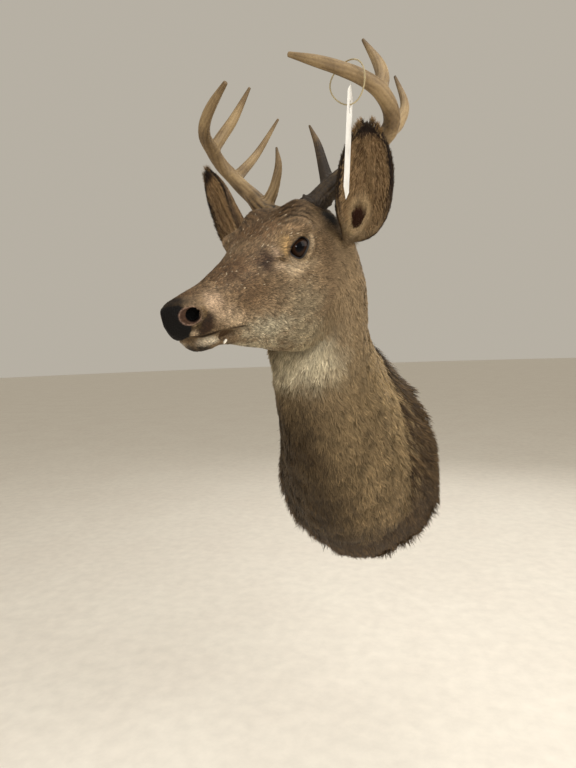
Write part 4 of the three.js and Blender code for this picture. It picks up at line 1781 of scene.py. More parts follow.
    def furrows(self, q: Array, wobble: Array) -> Array:
        """Light and dark lines in arcs over the eye and forehead, where the hair is parted over low ridges: partly the
        hair's own lines, partly painted light on the ridges and painted shade in the furrows.

        Args:
            q: points of the head frame's left side.
            wobble: unevenness of edges there.

        Returns:
            What the colour is multiplied by.
        """
        away = np.linalg.norm(q - np.array([-199, 50, 50]), axis=1)
        wave = np.sin(away * 2 * np.pi / 7.4 + 0.9 * wobble)
        return 1 + 0.72 * self.parted(q) * wave

    def parted(self, q: Array) -> Array:
        """Where the hair is parted in such arcs, 0 to 1."""
        over = bell(q, (-204, 40, 94), (32, 32, 20)) * 1.3 + 0.6 * bell(q, (-186, 58, 24), (24, 20, 12))
        return np.clip(over, 0, 1)

    def ear_colour(self, number: int, level: Array, across: Array, inner: Array, from_canal: Array,
                   deep: Array) -> Array:
        """Colour of an ear's hair: brown behind, streaked pale inside, dark at rim and tip, darkest in the canal.

        Args:
            number: which ear.
            level: how far up it, root 0 to tip 1.
            across: how far across it, -1 to 1.
            inner: 1 on the inside and 0 on the back.
            from_canal: distance from the canal's middle over its size.
            deep: 1 in the canal.

        Returns:
            Linear colours, brighter on the right ear, which has the light behind it.
        """
        rim = ease((np.abs(across) - 0.74) / 0.16)
        tip = ease((level - 0.84) / 0.08)
        streak = ripple(np.column_stack([across * 34, level * 9, np.zeros(len(level))]), 7.0, 31)
        low = ease((0.42 - level) / 0.3)
        streaked = ease(0.38 + 0.8 * streak) * (1 - 0.5 * low)
        ring = np.exp(-(((from_canal - 1.6) / 0.4) ** 2))
        dark = np.clip(rim * (0.3 + 0.7 * ease((level - 0.3) / 0.25)) + tip, 0, 1)
        back = blend(linear(self.ear_back), linear(self.ear_back_edge), np.maximum(tip, rim * 0.8)[:, None])
        pale = linear(self.ear_inside)
        for colour, amount in (
            (self.ear_low, low), (self.ear_streak, streaked), (self.ear_ring, ring * 0.8),
            (self.ear_canal, deep * 0.97), (self.ear_rim, dark),
        ):
            pale = blend(pale, linear(colour), amount[:, None])
        return blend(back, pale, inner[:, None]) * self.ear_lit[number]


# ---------------------------------------------------------------- the coat
@dataclass
class Growth:
    """What grows at each point of the skin: all arrays have one row per point."""

    lie: Array
    length: Array
    width: Array
    lift: Array
    cover: Array
    colour: Array
    places: Array
    region: Array
    stir: Array
    bare: Array


@dataclass
class Tufts:
    """Blades of hair to be made: all arrays have one row per blade."""

    root: Array
    up: Array
    lie: Array
    length: Array
    width: Array
    lift: Array
    roll: Array
    bend: Array
    colour: Array
    shade: Array
    places: Array
    stir: Array
    pull: Array

    def rows(self, chosen: Array) -> "Tufts":
        """The chosen blades alone."""
        return Tufts(*(getattr(self, part.name)[chosen] for part in fields(self)))

    def blades(self, levels: tuple[float, ...]) -> tuple[Array, Array, Array]:
        """Thin bent blades.

        Each blade's middle line runs from the root along its lie for its length, rising as the power 0.75 of the way to
        its lift, swung sideways by its bend and drawn aside by its pull, both as the square of the way. Its edges stand
        half a width either side, which swells to the middle and closes to a point at the tip.

        Args:
            levels: the way along at each pair of points, before the tip.

        Returns:
            Points by blade, the way along of each, and the triangles of one blade.
        """
        side = unit(np.cross(self.up, self.lie))
        flat = side * np.cos(self.roll)[:, None] + self.up * np.sin(self.roll)[:, None]
        points, ways = [], []
        for t in (*levels, 1.0):
            centre = self.root + self.lie * (self.length * t)[:, None]
            centre = centre + side * (self.length * self.bend * t * t)[:, None] + self.pull * t * t
            centre = centre + self.up * (self.lift * t**0.75)[:, None]
            half = (self.width * (0.34 + 0.5 * t * (1 - t) * 1.3))[:, None]
            points += [centre - flat * half, centre + flat * half] if t < 1.0 else [centre]
            ways += [t, t] if t < 1.0 else [t]
        n = len(levels)
        faces = [f for i in range(n - 1) for f in ((2 * i, 2 * i + 3, 2 * i + 1), (2 * i, 2 * i + 2, 2 * i + 3))]
        faces.append((2 * n - 2, 2 * n, 2 * n - 1))
        return np.stack(points, 1), np.array(ways), np.array(faces)


@dataclass
class Coat:
    """The hair: thousands of thin bent blades that lie along the body, and longer hair at ears and hide edge.

    Stops give the blades' length, width and lift in millimetres, the cover in blade areas over skin area and how
    unruly the hair is, each by place along the body. The regions' bounds are such places too. A piece has at most so
    many triangles, and each blade has a patch of its own on the bake map.
    """

    body: Body
    ears: tuple[Ear, ...]
    eye: Eye
    skin: Skin
    markings: Markings
    lengths: Stops = (
        (0, 2.2), (2, 3.0), (4, 4.6), (8, 6.5), (11, 8.0), (13, 10.5), (15, 14.0), (17, 19.0), (19, 26.0),
    )
    widths: Stops = ((0, 0.45), (4, 0.62), (9, 0.8), (13, 0.8), (16, 0.9), (19, 1.05))
    lifts: Stops = ((0, 0.3), (3, 0.6), (9, 1.0), (12, 1.3), (15, 1.9), (17, 2.8), (18, 4.2), (19, 6.0))
    covers: Stops = ((0, 3.4), (6, 3.8), (12, 3.8), (15, 3.8), (19, 4.2))
    stirs: Stops = (
        (0, 0.8), (3, 1.1), (6, 1.55), (11, 1.35), (13, 0.8), (14.5, 0.6), (16.5, 1.0), (17.6, 1.2), (19, 1.3),
    )
    regions: tuple[float, ...] = (8.5, 13.2, 16.8)
    short_levels: tuple[float, ...] = (0.0, 0.55)
    long_levels: tuple[float, ...] = (0.0, 0.35, 0.7)
    most: int = 192000
    blade_fill: float = 0.62
    lock_sizes: tuple[float, ...] = (3.2, 5.5, 9.5)
    lock_bounds: tuple[float, ...] = (3.6, 6.5)
    rim_count: int = 6400
    fringe_count: int = 25500
    fringe_reach: float = 1.75
    patch: float = 0.003
    # Blades darken toward their roots and brighten toward their tips: partly the hair's own banding, partly painted
    # shade deep in the coat.
    root_shade: float = 0.6
    tip_shade: float = 1.5

    def follow(self, p: Array) -> tuple[Array, Array, Array]:
        """Place along the body, angle round it and way along it, at points: those of the nearest ring's middle.

        Args:
            p: the points.

        Returns:
            Places, angles and ways.
        """
        place = np.linspace(0, self.body.last, 400)
        bottom, upright, height, along = self.body.axes(place)
        middle = bottom + upright * (height * 0.5)[:, None]
        i, _ = nearest(p, middle)
        side = unit(np.cross(upright, along))
        d = p - middle[i]
        angle = np.arctan2((d * upright[i]).sum(1), (d * side[i]).sum(1))
        return place[i], angle, along[i]

    def grow(self, p: Array, normal: Array) -> Growth:
        """Works out the coat over the skin.

        Hair lies back over the head, round the eyes and in arcs where it is parted, along the neck, and down and out
        over the shoulders. It is shorter at the mouth, close to the eye and where it is parted, and longer between
        the antlers.

        Args:
            p: the skin's points.
            normal: their normals.

        Returns:
            The growth.
        """
        place, angle, along = self.follow(p)
        q = HEAD.back(p)
        mirror = np.sign(q[:, 1])
        h = left_side(q)
        colour, bare = self.markings.colours(p, place, angle, self.skin)
        head = ease((13.5 - place) / 2.5)
        low = ease((place - 16.5) / 2.5)

        sideways = 0.22 * mirror * ease((h[:, 2] - 40) / 40)
        backward = HEAD.way(np.column_stack([np.full(len(p), -1.0), sideways, -0.28 * ease((40 - h[:, 2]) / 70)]))
        lie = blend(along, backward, head[:, None])
        spread = np.column_stack([0.4 * (p[:, 0] + 5) / 100, np.zeros(len(p)), np.full(len(p), -0.95)])
        lie = blend(lie, unit(spread) + along * 0.55, (low * 0.8)[:, None])
        away = h - np.array(self.eye.centre)
        from_eye = np.linalg.norm(away, axis=1)
        opening = self.eye.opening(h)
        toward = HEAD.way(unit(away) * np.column_stack([np.ones(len(p)), mirror, np.ones(len(p))]))
        near = np.exp(-np.maximum(opening, 0) / 11) * (from_eye < 50)
        lie = lie - toward * dot(lie, toward) * (near * 0.95)[:, None]
        lie = lie + toward * (near * 0.22)[:, None]
        parted = self.markings.parted(h)
        arcs = np.cross(normal, toward)
        arcs = arcs * np.sign(dot(arcs, lie))
        lie = blend(lie, unit(arcs), (0.9 * parted)[:, None])

        mouth = self.skin.from_mouth(h)[0]
        close = np.exp(-np.maximum(opening, 0) / 5.0) * (from_eye < 32)
        tuftier = bell(h, (-262, 30, 100), (26, 30, 22))
        length = stepped(place, self.lengths) * (1 - 0.2 * parted)
        length = length * (1 - 0.6 * np.exp(-((mouth / 7) ** 2)))
        length = length * (1 - 0.55 * close)
        growth = Growth(
            lie=lie, length=length * (1 + 0.6 * tuftier), width=stepped(place, self.widths),
            lift=stepped(place, self.lifts) * (1 + 1.2 * tuftier), cover=stepped(place, self.covers), colour=colour,
            places=self.unwrap(angle, place), region=np.digitize(place, self.regions),
            stir=stepped(place, self.stirs) * (1 - 0.45 * parted), bare=bare,
        )
        for number in range(len(self.ears)):
            self.grow_ear(number, growth, p, normal)
        inside = (opening < 1.2) & (from_eye < 26)
        on_wall = p[:, 1] > -17.0
        growth.cover = np.where(inside | (bare > 0.55) | (mouth < 2.6) | on_wall, 0.0, growth.cover)
        sway = 0.22 * ripple(p, 30, 21) + 0.16 * ripple(p, 11, 22)
        growth.lie = swing(square_to(growth.lie, normal), normal, sway)
        return growth

    def unwrap(self, angle: Array, place: Array) -> Array:
        """Places on the bake map: across by the angle round the body, and up by the place along it."""
        across = 0.02 + 0.66 * ((angle / (2 * np.pi) + 0.5) % 1.0)
        return np.column_stack([across, 0.02 + 0.95 * place / self.body.last])

    def grow_ear(self, number: int, growth: Growth, p: Array, normal: Array) -> None:
        """Changes the growth, in place, where the skin belongs to an ear.

        The nearest point of the ear's middle sheet gives the level and the place across. Hair runs from root to tip,
        short and brown on the back, and long, pale and streaked inside, with a dark rim.

        Args:
            number: which ear.
            growth: the coat.
            p: the skin's points.
            normal: their normals.
        """
        ear = self.ears[number]
        u = np.linspace(0, 1, 46)
        k = np.linspace(-1, 1, 25)
        sheet = ear.sheet(u, k, 0.5).reshape(-1, 3)
        chosen = np.flatnonzero((p > sheet.min(0) - 12).all(1) & (p < sheet.max(0) + 12).all(1))
        i, gap = nearest(p[chosen], sheet)
        level, across = u[i // len(k)], k[i % len(k)]
        _, along, _, look = ear.frame_at(level)
        along, look = ear.ways(along, look)
        sideways = unit(np.cross(along, look))
        share = ease((7.5 - gap) / 3.5) * ease((level - 0.02) / 0.1)
        turn = across * ear.curl(level)
        hollow = look * np.cos(turn)[:, None] - sideways * np.sin(turn)[:, None] * ear.side.value
        n = normal[chosen]
        facing = (n * hollow).sum(1)
        facing = np.where(np.abs(facing) < 0.15, (n * look).sum(1), facing)
        inner = ease((facing + 0.05) / 0.35)
        from_canal = np.hypot((level - ear.canal[0]) / 0.1, (across - ear.canal[1]) / 0.2)
        deep = ease((1.15 - from_canal) / 0.3)
        close = np.exp(-((np.maximum(from_canal - 1, 0) / 1.2) ** 2)) * inner
        way = unit(along + sideways * (across * ear.side.value * 0.15)[:, None])
        inward = unit(along * 0.9 - sideways * (across * ear.side.value * 0.7)[:, None])
        for values, wanted in (
            (growth.colour, self.markings.ear_colour(number, level, across, inner, from_canal, deep)),
            (growth.lie, blend(way, inward, inner[:, None])),
            (growth.length, blend(6.0, blend(9.0, 7.0, level), inner) * (1 - 0.65 * close)),
            (growth.width, blend(0.5, 0.45, inner)),
            (growth.lift, blend(0.9, 1.1, inner)),
            (growth.cover, blend(3.0, 2.6, inner) * (1 - deep * inner)),
            (growth.stir, 0.9),
        ):
            values[chosen] = blend(values[chosen], wanted, share if values.ndim == 1 else share[:, None])
        corner = np.array([0.72 + 0.14 * number, 0.0])
        flat = np.column_stack([0.01 + 0.055 * (across + 1), 0.02 + 0.45 * level + 0.5 * inner.round()])
        mine = share > 0.5
        growth.places[chosen[mine]] = (corner + flat)[mine]
        growth.region[chosen[mine]] = len(self.regions) + 1 + number

    def scatter(self, p: Array, triangles: Array, growth: Growth, rng: np.random.Generator) -> tuple[Array, Array]:
        """Places of the roots on the skin.

        Roots are spread along the running sum of each triangle's area times its wanted number per square millimetre,
        which is the cover over a blade's own area.

        Args:
            p: the skin's points.
            triangles: its triangles.
            growth: the coat.
            rng: the seeded random source.

        Returns:
            Each root's triangle, and its three weights.
        """
        a, b, c = (p[triangles[:, i]] for i in range(3))
        area = np.linalg.norm(np.cross(b - a, c - a), axis=1) / 2
        wanted = growth.cover / (growth.length * growth.width * self.blade_fill)
        load = area * wanted[triangles].mean(1) * (growth.cover[triangles] > 0).all(1)
        running = np.cumsum(load)
        count = int(running[-1])
        at = (np.arange(count) + rng.random(count)) * running[-1] / count
        chosen = np.minimum(np.searchsorted(running, at), len(triangles) - 1)
        weights = rng.dirichlet([1.0, 1.0, 1.0], count)
        return chosen, weights

    def piece(self, name: str, material: bpy.types.Material, tufts: Tufts,
              levels: tuple[float, ...]) -> bpy.types.Object:
        """One joined mesh of blades with their colours, bake map and soft normals, held within the hide's own box.

        Args:
            name: the piece's name.
            material: the hair's finish.
            tufts: its blades.
            levels: the way along at each pair of a blade's points.

        Returns:
            The dressed piece.
        """
        points, ways, faces = tufts.blades(levels)
        count, per = points.shape[:2]
        points = self.kept_in(points)
        corners = (np.arange(count)[:, None, None] * per + faces[None]).reshape(-1, 3)
        made = make_object(name, points.reshape(-1, 3), corners)
        paint(made, "mark", np.repeat(tufts.colour, per, 0))
        # Painted shade deep in the coat toward each root, with paler tips, partly the hair's own banding.
        depth = self.root_shade + (self.tip_shade - self.root_shade) * ways - 1.0
        paint(made, "shade", (tufts.shade[:, None] * (1.0 + depth[None] * tufts.stir[:, None])).ravel())
        spot = np.zeros((count, per, 2))
        spot[:, :, 0] = np.where(np.arange(per) % 2, 0.5, -0.5) * (np.arange(per) < per - 1)
        spot[:, :, 1] = ways[None] - 0.5
        map_points(made, "OFBake", (tufts.places[:, None] + spot * self.patch).reshape(-1, 2))
        made.data.normals_split_custom_set_from_vertices(np.repeat(tufts.up, per, 0).astype(np.float32))
        return finish_piece(made, "coat", material)

    def kept_in(self, points: Array) -> Array:
        """Blades drawn in toward their roots where their tips would pass the hide's own box.

        Args:
            points: each blade's points, root first.

        Returns:
            The moved points.
        """
        low, high = (np.array(corner) / MM for corner in CAD_BOX)
        root = points[:, :2].mean(1)
        reach = points[:, -1] - root
        reach = np.where(np.abs(reach) < 1e-3, 1e-3, reach)
        spare = np.random.default_rng(SEED + 7).uniform(0.5, 4.5, (len(points), 1))
        room = np.where(reach > 0, high - spare - root, low + spare - root) / reach
        share = np.clip(room.min(1), 0.12, 1.0)[:, None, None]
        return np.clip(root[:, None] + (points - root[:, None]) * share, low + 0.4, high - 0.4)

    def build(self, skin: bpy.types.Object, growth: Growth, material: bpy.types.Material) -> list[bpy.types.Object]:
        """Covers the skin and adds the long hair, as pieces under the size limit.

        Args:
            skin: the skin's mesh.
            growth: what grows at its points.
            material: the hair's finish.

        Returns:
            The pieces.
        """
        rng = np.random.default_rng(SEED)
        tufts, region = self.cover(skin, growth, rng)
        names = ("coat_face", "coat_head", "coat_neck", "coat_shoulders", "coat_ear_left", "coat_ear_right")
        long = ("coat_neck", "coat_shoulders")
        made = []
        for number, name in enumerate(names):
            rows = np.flatnonzero(region == number)
            levels = self.long_levels if name in long else self.short_levels
            limit = self.most // (2 * len(levels) - 1) - 10
            for part, chunk in enumerate(np.array_split(rows, max(1, math.ceil(len(rows) / limit)))):
                made.append(self.piece(f"{name}_{part + 1}", material, tufts.rows(chunk), levels))
        made += self.edge_hair(material, rng)
        made.append(self.hide_fringe(material, rng))
        return made

    def cover(self, skin: bpy.types.Object, growth: Growth, rng: np.random.Generator) -> tuple[Tufts, Array]:
        """Blades all over the skin, each uneven by a seeded draw.

        Args:
            skin: the skin's mesh.
            growth: what grows at its points.
            rng: the seeded random source.

        Returns:
            The blades, and the region that each belongs to.
        """
        p, normal = points_of(skin)
        triangles = triangles_of(skin)
        chosen, weights = self.scatter(p, triangles, growth, rng)
        corners = triangles[chosen]

        def at(values: Array) -> Array:
            """A value of the skin's points, carried to the roots."""
            w = weights if values.ndim == 1 else weights[..., None]
            return (values[corners] * w).sum(1)

        root, up, count = at(p), unit(at(normal)), len(corners)
        lie = swing(square_to(at(growth.lie), up), up, rng.normal(0, 0.17, count))
        length = at(growth.length) * rng.uniform(0.7, 1.2, count)
        width = at(growth.width) * rng.uniform(0.75, 1.25, count)
        lift = at(growth.lift) * rng.uniform(0.4, 1.25, count) * (1 + 0.25 * ripple(root, 12, 23))
        roll = rng.normal(0, 0.35, count)
        bend = rng.normal(0, 0.1, count)
        pull, tone, gap = self.locks(root, up, np.clip(length * 0.42, 1.5, 9.0))
        stir = at(growth.stir)
        patchy = 1 + 0.08 * ripple(root, 18, 24) + 0.06 * ripple(root, 45, 25)
        # Painted shade: tufts further out in their lock, toward the gaps between locks, are darker.
        in_lock = 1 + (0.32 * tone - 0.16 + 0.1 - 0.26 * gap) * stir
        shade = np.exp(rng.normal(0, 0.24, count) * stir) * in_lock * patchy
        colour = self.fleck(at(growth.colour), root, rng)
        first = corners[:, 0]
        tufts = Tufts(
            root, up, lie, length, width, lift, roll, bend, colour, shade, growth.places[first], stir,
            pull * stir[:, None],
        )
        return tufts, growth.region[first]

    def locks(self, root: Array, up: Array, reach: Array) -> tuple[Array, Array, Array]:
        """Gathers tufts in locks, small where the hair is short.

        Args:
            root: their roots.
            up: the normals there.
            reach: about how wide a lock is at each.

        Returns:
            How far each tip is drawn to its lock's middle, the lock's own tone of 0 to 1, and how far out in it the
            root is.
        """
        pull = np.zeros_like(root)
        tone, gap = np.zeros(len(root)), np.zeros(len(root))
        for number, size in enumerate(self.lock_sizes):
            mine = np.digitize(reach, self.lock_bounds) == number
            if not mine.any():
                continue
            centre, own = clumps(root[mine], size, 60 + number)
            away = centre - root[mine]
            away = away - up[mine] * dot(away, up[mine])
            pull[mine] = away * 0.62
            tone[mine] = own
            gap[mine] = np.clip(np.linalg.norm(away, axis=1) / size / 0.6, 0, 1)
        return pull, tone, gap

    def fleck(self, colour: Array, root: Array, rng: np.random.Generator) -> Array:
        """Turns a few hairs of the face dust-pale.

        Args:
            colour: the hairs' colours.
            root: where they grow.
            rng: the seeded random source.

        Returns:
            The changed colours.
        """
        q = HEAD.back(root)
        face = ease((-40 - q[:, 0]) / 20) * ease((q[:, 0] + 225) / 25) * ease(q[:, 2] / 30)
        pale = rng.random(len(root)) < self.markings.dusty * face
        return np.where(pale[:, None], linear(self.markings.dust), colour)

    def edge_hair(self, material: bpy.types.Material, rng: np.random.Generator) -> list[bpy.types.Object]:
        """Longer hair of each ear: a dark rim, the tip's brush, and pale hair across the opening.

        Args:
            material: the hair's finish.
            rng: the seeded random source.

        Returns:
            One piece for each ear.
        """
        made = []
        count = self.rim_count
        for number, ear in enumerate(self.ears):
            u = rng.uniform(0.12, 1.0, count) ** 0.8
            k = np.where(rng.random(count) < 0.5, -1.0, 1.0) * rng.uniform(0.86, 1.0, count)
            inner = rng.random(count) < 0.45
            k = np.where(inner, rng.uniform(-0.95, 0.95, count), k)
            along, across, look = ear.ways(*ear.frame_at(u)[1:])
            outward = across * np.sign(k)[:, None]
            lie_rim = unit(along * 0.85 + outward * 0.32 + look * 0.25 * rng.normal(0.4, 0.5, (count, 1)))
            lie_in = unit(along * 0.95 - outward * 0.3 + look * 0.12)
            lie = unit(np.where(inner[:, None], lie_in, lie_rim) + rng.normal(0, 0.12, (count, 3)))
            tip = ease((u - 0.86) / 0.12)
            long_in = rng.uniform(7, 14, count) * blend(1.0, 0.6, u)
            length = np.where(inner, long_in, rng.uniform(3.5, 7, count) + 5.0 * tip)
            dark = np.where(inner, 0.5 * rng.random(count) ** 2 + tip, 0.45 + 0.55 * ease((u - 0.25) / 0.25))
            dark = np.clip(dark + rng.normal(0, 0.12, count), 0, 1)
            colour = blend(*map(linear, self.markings.ear_long), dark[:, None])
            brush = (tip > 0.3) & ~inner & (rng.random(count) < 0.5)
            crossing = inner & (u < ear.canal[0] + 0.14) & (np.abs(k - ear.canal[1]) < 0.45)
            tufts = Tufts(
                root=self.on_sheet(ear, u, k), up=square_to(look, lie), lie=lie,
                length=np.where(crossing, 0.3, length + 3.0 * brush), width=rng.uniform(0.3, 0.5, count),
                lift=rng.uniform(0.0, 2.2, count), roll=rng.normal(0, 0.5, count), bend=rng.normal(0, 0.12, count),
                colour=np.where(brush[:, None], linear(self.markings.ear_brush), colour),
                shade=np.clip(rng.normal(1.0, 0.16, count), 0.5, 1.5),
                places=np.column_stack([0.73 + 0.14 * number + 0.055 * (k + 1), 0.52 + 0.45 * u]),
                stir=np.full(count, 0.8), pull=np.zeros((count, 3)),
            )
            made.append(self.piece(f"coat_ear_{ear.side.word}_long", material, tufts, self.long_levels))
        return made

    def on_sheet(self, ear: Ear, u: Array, k: Array, rows: int = 199, columns: int = 80) -> Array:
        """Points of an ear's inner face at pairs of level and place across, from a fine grid of it.

        Args:
            ear: the ear.
            u: levels, root 0 to tip 1.
            k: places across, -1 to 1.
            rows: steps of the grid from root to tip.
            columns: steps across it.

        Returns:
            The points in the wall frame.
        """
        sheet = ear.sheet(np.linspace(0, 1, rows + 1), np.linspace(-1, 1, columns + 1), 0.8, ear.hair)
        return sheet[(u * rows).astype(int), ((k + 1) * (columns // 2)).astype(int)]

    def hide_fringe(self, material: bpy.types.Material, rng: np.random.Generator) -> bpy.types.Object:
        """Shaggy dark hair round the hide's edge, lying down and back over the board.

        Args:
            material: the hair's finish.
            rng: the seeded random source.

        Returns:
            The piece.
        """
        count, last, rows, columns = self.fringe_count, self.body.last, 53, 720
        angle = np.sort(rng.uniform(0, 2 * np.pi, count))
        place = last - rng.uniform(0.0, 1.0, count) ** 1.15 * (last - self.markings.band(angle))
        first = last - self.fringe_reach
        p = self.body.rings(np.linspace(first, last, rows + 1), np.linspace(0, 2 * np.pi, columns + 1))
        ahead = unit(np.gradient(p, axis=0))
        normal = unit(np.cross(np.gradient(p, axis=1), ahead))
        normal *= np.sign((normal * (p - p.mean((0, 1)))).sum(-1).mean())
        i = np.clip(((place - first) / self.fringe_reach * rows).astype(int), 0, rows)
        j = (angle / (2 * np.pi) * columns).astype(int)
        up, forward = normal[i, j], ahead[i, j]
        root = p[i, j] - up * (self.body.depth(place) + self.body.ragged(place, angle))[:, None]
        flare = unit(up * np.array([1, 0, 1]))
        lie = forward * 0.6 + np.array([0, 0, -0.3]) + flare * 0.16
        lock = ripple(np.column_stack([angle * 60, place * 3, place * 0]), 9.0, 41)
        lie = unit(lie + rng.normal(0, 0.08, (count, 3)) + np.cross(up, forward) * (0.16 * lock)[:, None])
        lie = unit(lie - up * dot(lie, up) * 0.75)
        room = np.maximum((-2.0 - root[:, 1]) / np.maximum(lie[:, 1], 0.05), 5.0)
        tufts = Tufts(
            root=root, up=up, lie=lie, length=np.minimum(rng.uniform(14, 32, count) * (1 + 0.42 * lock), room),
            colour=blend(*map(linear, self.markings.fringe_hair), rng.random((count, 1)) ** 2),
            shade=np.exp(rng.normal(0, 0.22, count)) * (1 + 0.2 * lock), width=rng.uniform(0.6, 1.2, count),
            lift=rng.uniform(2.0, 9.0, count) * (1 + 0.5 * lock), roll=rng.normal(0, 0.4, count),
            bend=rng.normal(0, 0.1, count), places=self.unwrap(angle, place), stir=np.ones(count),
            pull=np.zeros((count, 3)),
        )
        return self.piece("coat_fringe", material, tufts, self.long_levels)


# ---------------------------------------------------------------- eyes as pieces
@dataclass
class EyePieces:
    """The glass eye, its lid's rim and the lashes of one side."""

    eye: Eye
    side: Side

    def out(self, p: Array) -> Array:
        """Points drawn on the head's left, in the wall frame on this side."""
        return HEAD.out(self.side.flip(p))

    def turned(self, faces: Array) -> Array:
        """Faces drawn for the left, wound for this side."""
        return faces if self.side is Side.LEFT else faces[:, ::-1]

    def glass(self) -> bpy.types.Object:
        """Ball about its looking axis: rings of latitude from pole to pole, the clear front bulging a little.

        Returns:
            The dressed piece.
        """
        columns = 64
        tilt = np.linspace(0.0, np.pi, 41)[1:-1]
        look, long, short = self.eye.axes()
        radius = self.eye.radius - 0.25 + 0.2 * np.exp(-((tilt / 0.6) ** 2))
        ring = np.sin(tilt)[:, None, None] * circles(long, short, columns)
        p = np.array(self.eye.centre) + radius[:, None, None] * (np.cos(tilt)[:, None, None] * look + ring)
        poles = np.array(self.eye.centre) + np.outer([radius[0], -radius[-1]], look)
        points = np.concatenate([p.reshape(-1, 3), poles])
        quads = grid_faces(len(tilt), columns, round_columns=True)
        triangles = np.concatenate([halves(quads), end_fans(len(tilt), columns)])
        made = make_object(f"eye_{self.side.word}", self.out(points), self.turned(triangles))
        d = points - np.array(self.eye.centre)
        pupil = ease((1.0 - np.hypot((d @ long) / 8.2, (d @ short) / 6.2)) / 0.25) * ((d @ look) > 0)
        paint(made, "away", np.arccos(np.clip(unit(d) @ look, -1, 1)))
        paint(made, "pupil", pupil)
        return finish_piece(made, "eye", EyeFinish().make(), f"eye_{self.side.word}")

    def rim(self, material: bpy.types.Material) -> bpy.types.Object:
        """Bare dark lid edge: a small oval carried round the oval on a ball just over the glass, thicker in front.

        Args:
            material: the finish.

        Returns:
            The dressed piece.
        """
        steps, sides = 96, 10
        around = np.arange(steps) * 2 * np.pi / steps
        centre = self.eye.on_ball(*self.eye.oval(around), self.eye.radius + 0.6)
        ahead = unit(np.roll(centre, -1, 0) - np.roll(centre, 1, 0))
        up = unit(centre - np.array(self.eye.centre))
        thick = 1.15 + 0.3 * np.exp(-((around % (2 * np.pi) - np.pi) / 0.5) ** 2)[:, None]
        circle = circles(np.cross(ahead, up) * thick * 1.25, up * thick, sides)
        faces = grid_faces(steps, sides, round_columns=True, round_rows=True)
        points = self.out((centre[:, None] + circle).reshape(-1, 3))
        return finish_piece(make_object(f"lid_rim_{self.side.word}", points, self.turned(faces)), "coat", material)

    def lashes(self, material: bpy.types.Material) -> bpy.types.Object:
        """Short dark lashes: tapering blades that leave the upper lid outward and curl up.

        Args:
            material: the finish.

        Returns:
            The dressed piece.
        """
        rng = np.random.default_rng(SEED + 1)
        count = 70
        around = np.radians(np.sort(rng.uniform(28, 158, count)))
        long, short = self.eye.oval(around, 0.6)
        root = self.eye.on_ball(long, short, self.eye.radius + 1.6)
        look, _, way_short = self.eye.axes()
        out = unit(root - np.array(self.eye.centre))
        lie = unit(look * 0.9 + out * 0.35 + way_short * 0.25 + rng.normal(0, 0.12, (count, 3)))
        rise = unit(way_short + rng.normal(0, 0.1, (count, 3)))
        length = rng.uniform(4.5, 8.5, count)
        width = 0.3
        side = unit(np.cross(lie, rise))
        points = []
        for t in (0.0, 0.4, 0.75, 1.0):
            centre = root + lie * (length * t)[:, None] + rise * (length * 0.35 * t * t)[:, None]
            half = side * (width * (1 - t) + 0.03)
            points += [centre - half, centre + half]
        p = np.stack(points, 1)
        one = np.array([(0, 1, 3, 2), (2, 3, 5, 4), (4, 5, 7, 6)])
        faces = (np.arange(count)[:, None, None] * 8 + one[None]).reshape(-1, 4)
        made = make_object(f"lashes_{self.side.word}", self.out(p.reshape(-1, 3)), self.turned(faces))
        return finish_piece(made, "coat", material)


# ---------------------------------------------------------------- board, tag and set
@dataclass(frozen=True)
class LipChip:
    """Chip of the white form that shows under the parted lips."""

    at: Point = (-69.5, 18.0, -47.6)
    long: Point = (-0.84, 0.0, 0.54)
    size: Point = (3.6, 1.4, 1.6)

    def build(self) -> bpy.types.Object:
        """Small lump: each way of a ball's grid raised to a power under one, which squares it off.

        Returns:
            The dressed piece.
        """
        rows, columns = 13, 20
        tilt = np.linspace(0.06, np.pi - 0.06, rows)[:, None]
        turn = (np.arange(columns) * 2 * np.pi / columns)[None]
        ball = np.stack([np.cos(tilt) + 0 * turn, np.sin(tilt) * np.cos(turn), np.sin(tilt) * np.sin(turn)], -1)
        ball = np.sign(ball) * np.abs(ball) ** 0.6 * np.array(self.size)
        long = unit(np.array(self.long))
        side = unit(np.cross([0, 0, 1.0], long))
        p = np.array(self.at) + ball @ np.array([long, side, np.cross(long, side)])
        p = HEAD.out(p.reshape(-1, 3))
        points = np.concatenate([p, p[:columns].mean(0)[None], p[-columns:].mean(0)[None]])
        quads = grid_faces(rows, columns, round_columns=True)
        made = make_object("lip_chip", points, np.concatenate([halves(quads), end_fans(rows, columns)]))
        turn_outward(made)
        plaster = PlainFinish("chip_plaster", (232, 226, 212), (206, 198, 182), 400.0, 0.5).make()
        return finish_piece(made, "coat", plaster)


@dataclass(frozen=True)
class Fittings:
    """Board, hanger, card slip and tie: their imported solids, dressed."""

    def dress(self) -> None:
        """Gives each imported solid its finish."""
        finishes = {
            "back_board": PlainFinish("plywood", (186, 148, 98), (150, 112, 68), 9.0, 0.68, stretch=(1.0, 9.0, 6.0)),
            "hanger": PlainFinish("zinc_steel", (168, 168, 166), (120, 121, 122), 120.0, 0.38, 1.0, 0.0001),
            "tag_slip": PlainFinish("card", (232, 230, 224), (208, 204, 198), 60.0, 0.72, relief=0.00008),
            "tag_tie": PlainFinish("clear_plastic", (168, 154, 120), (138, 124, 92), 90.0, 0.34, relief=0.00006),
        }
        for node, finish in finishes.items():
            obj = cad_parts[node]
            material = finish.make()
            if obj.data.materials:
                for slot in obj.material_slots:
                    slot.material = material
            else:
                obj.data.materials.append(material)
            LOG.info("%s dressed", node)


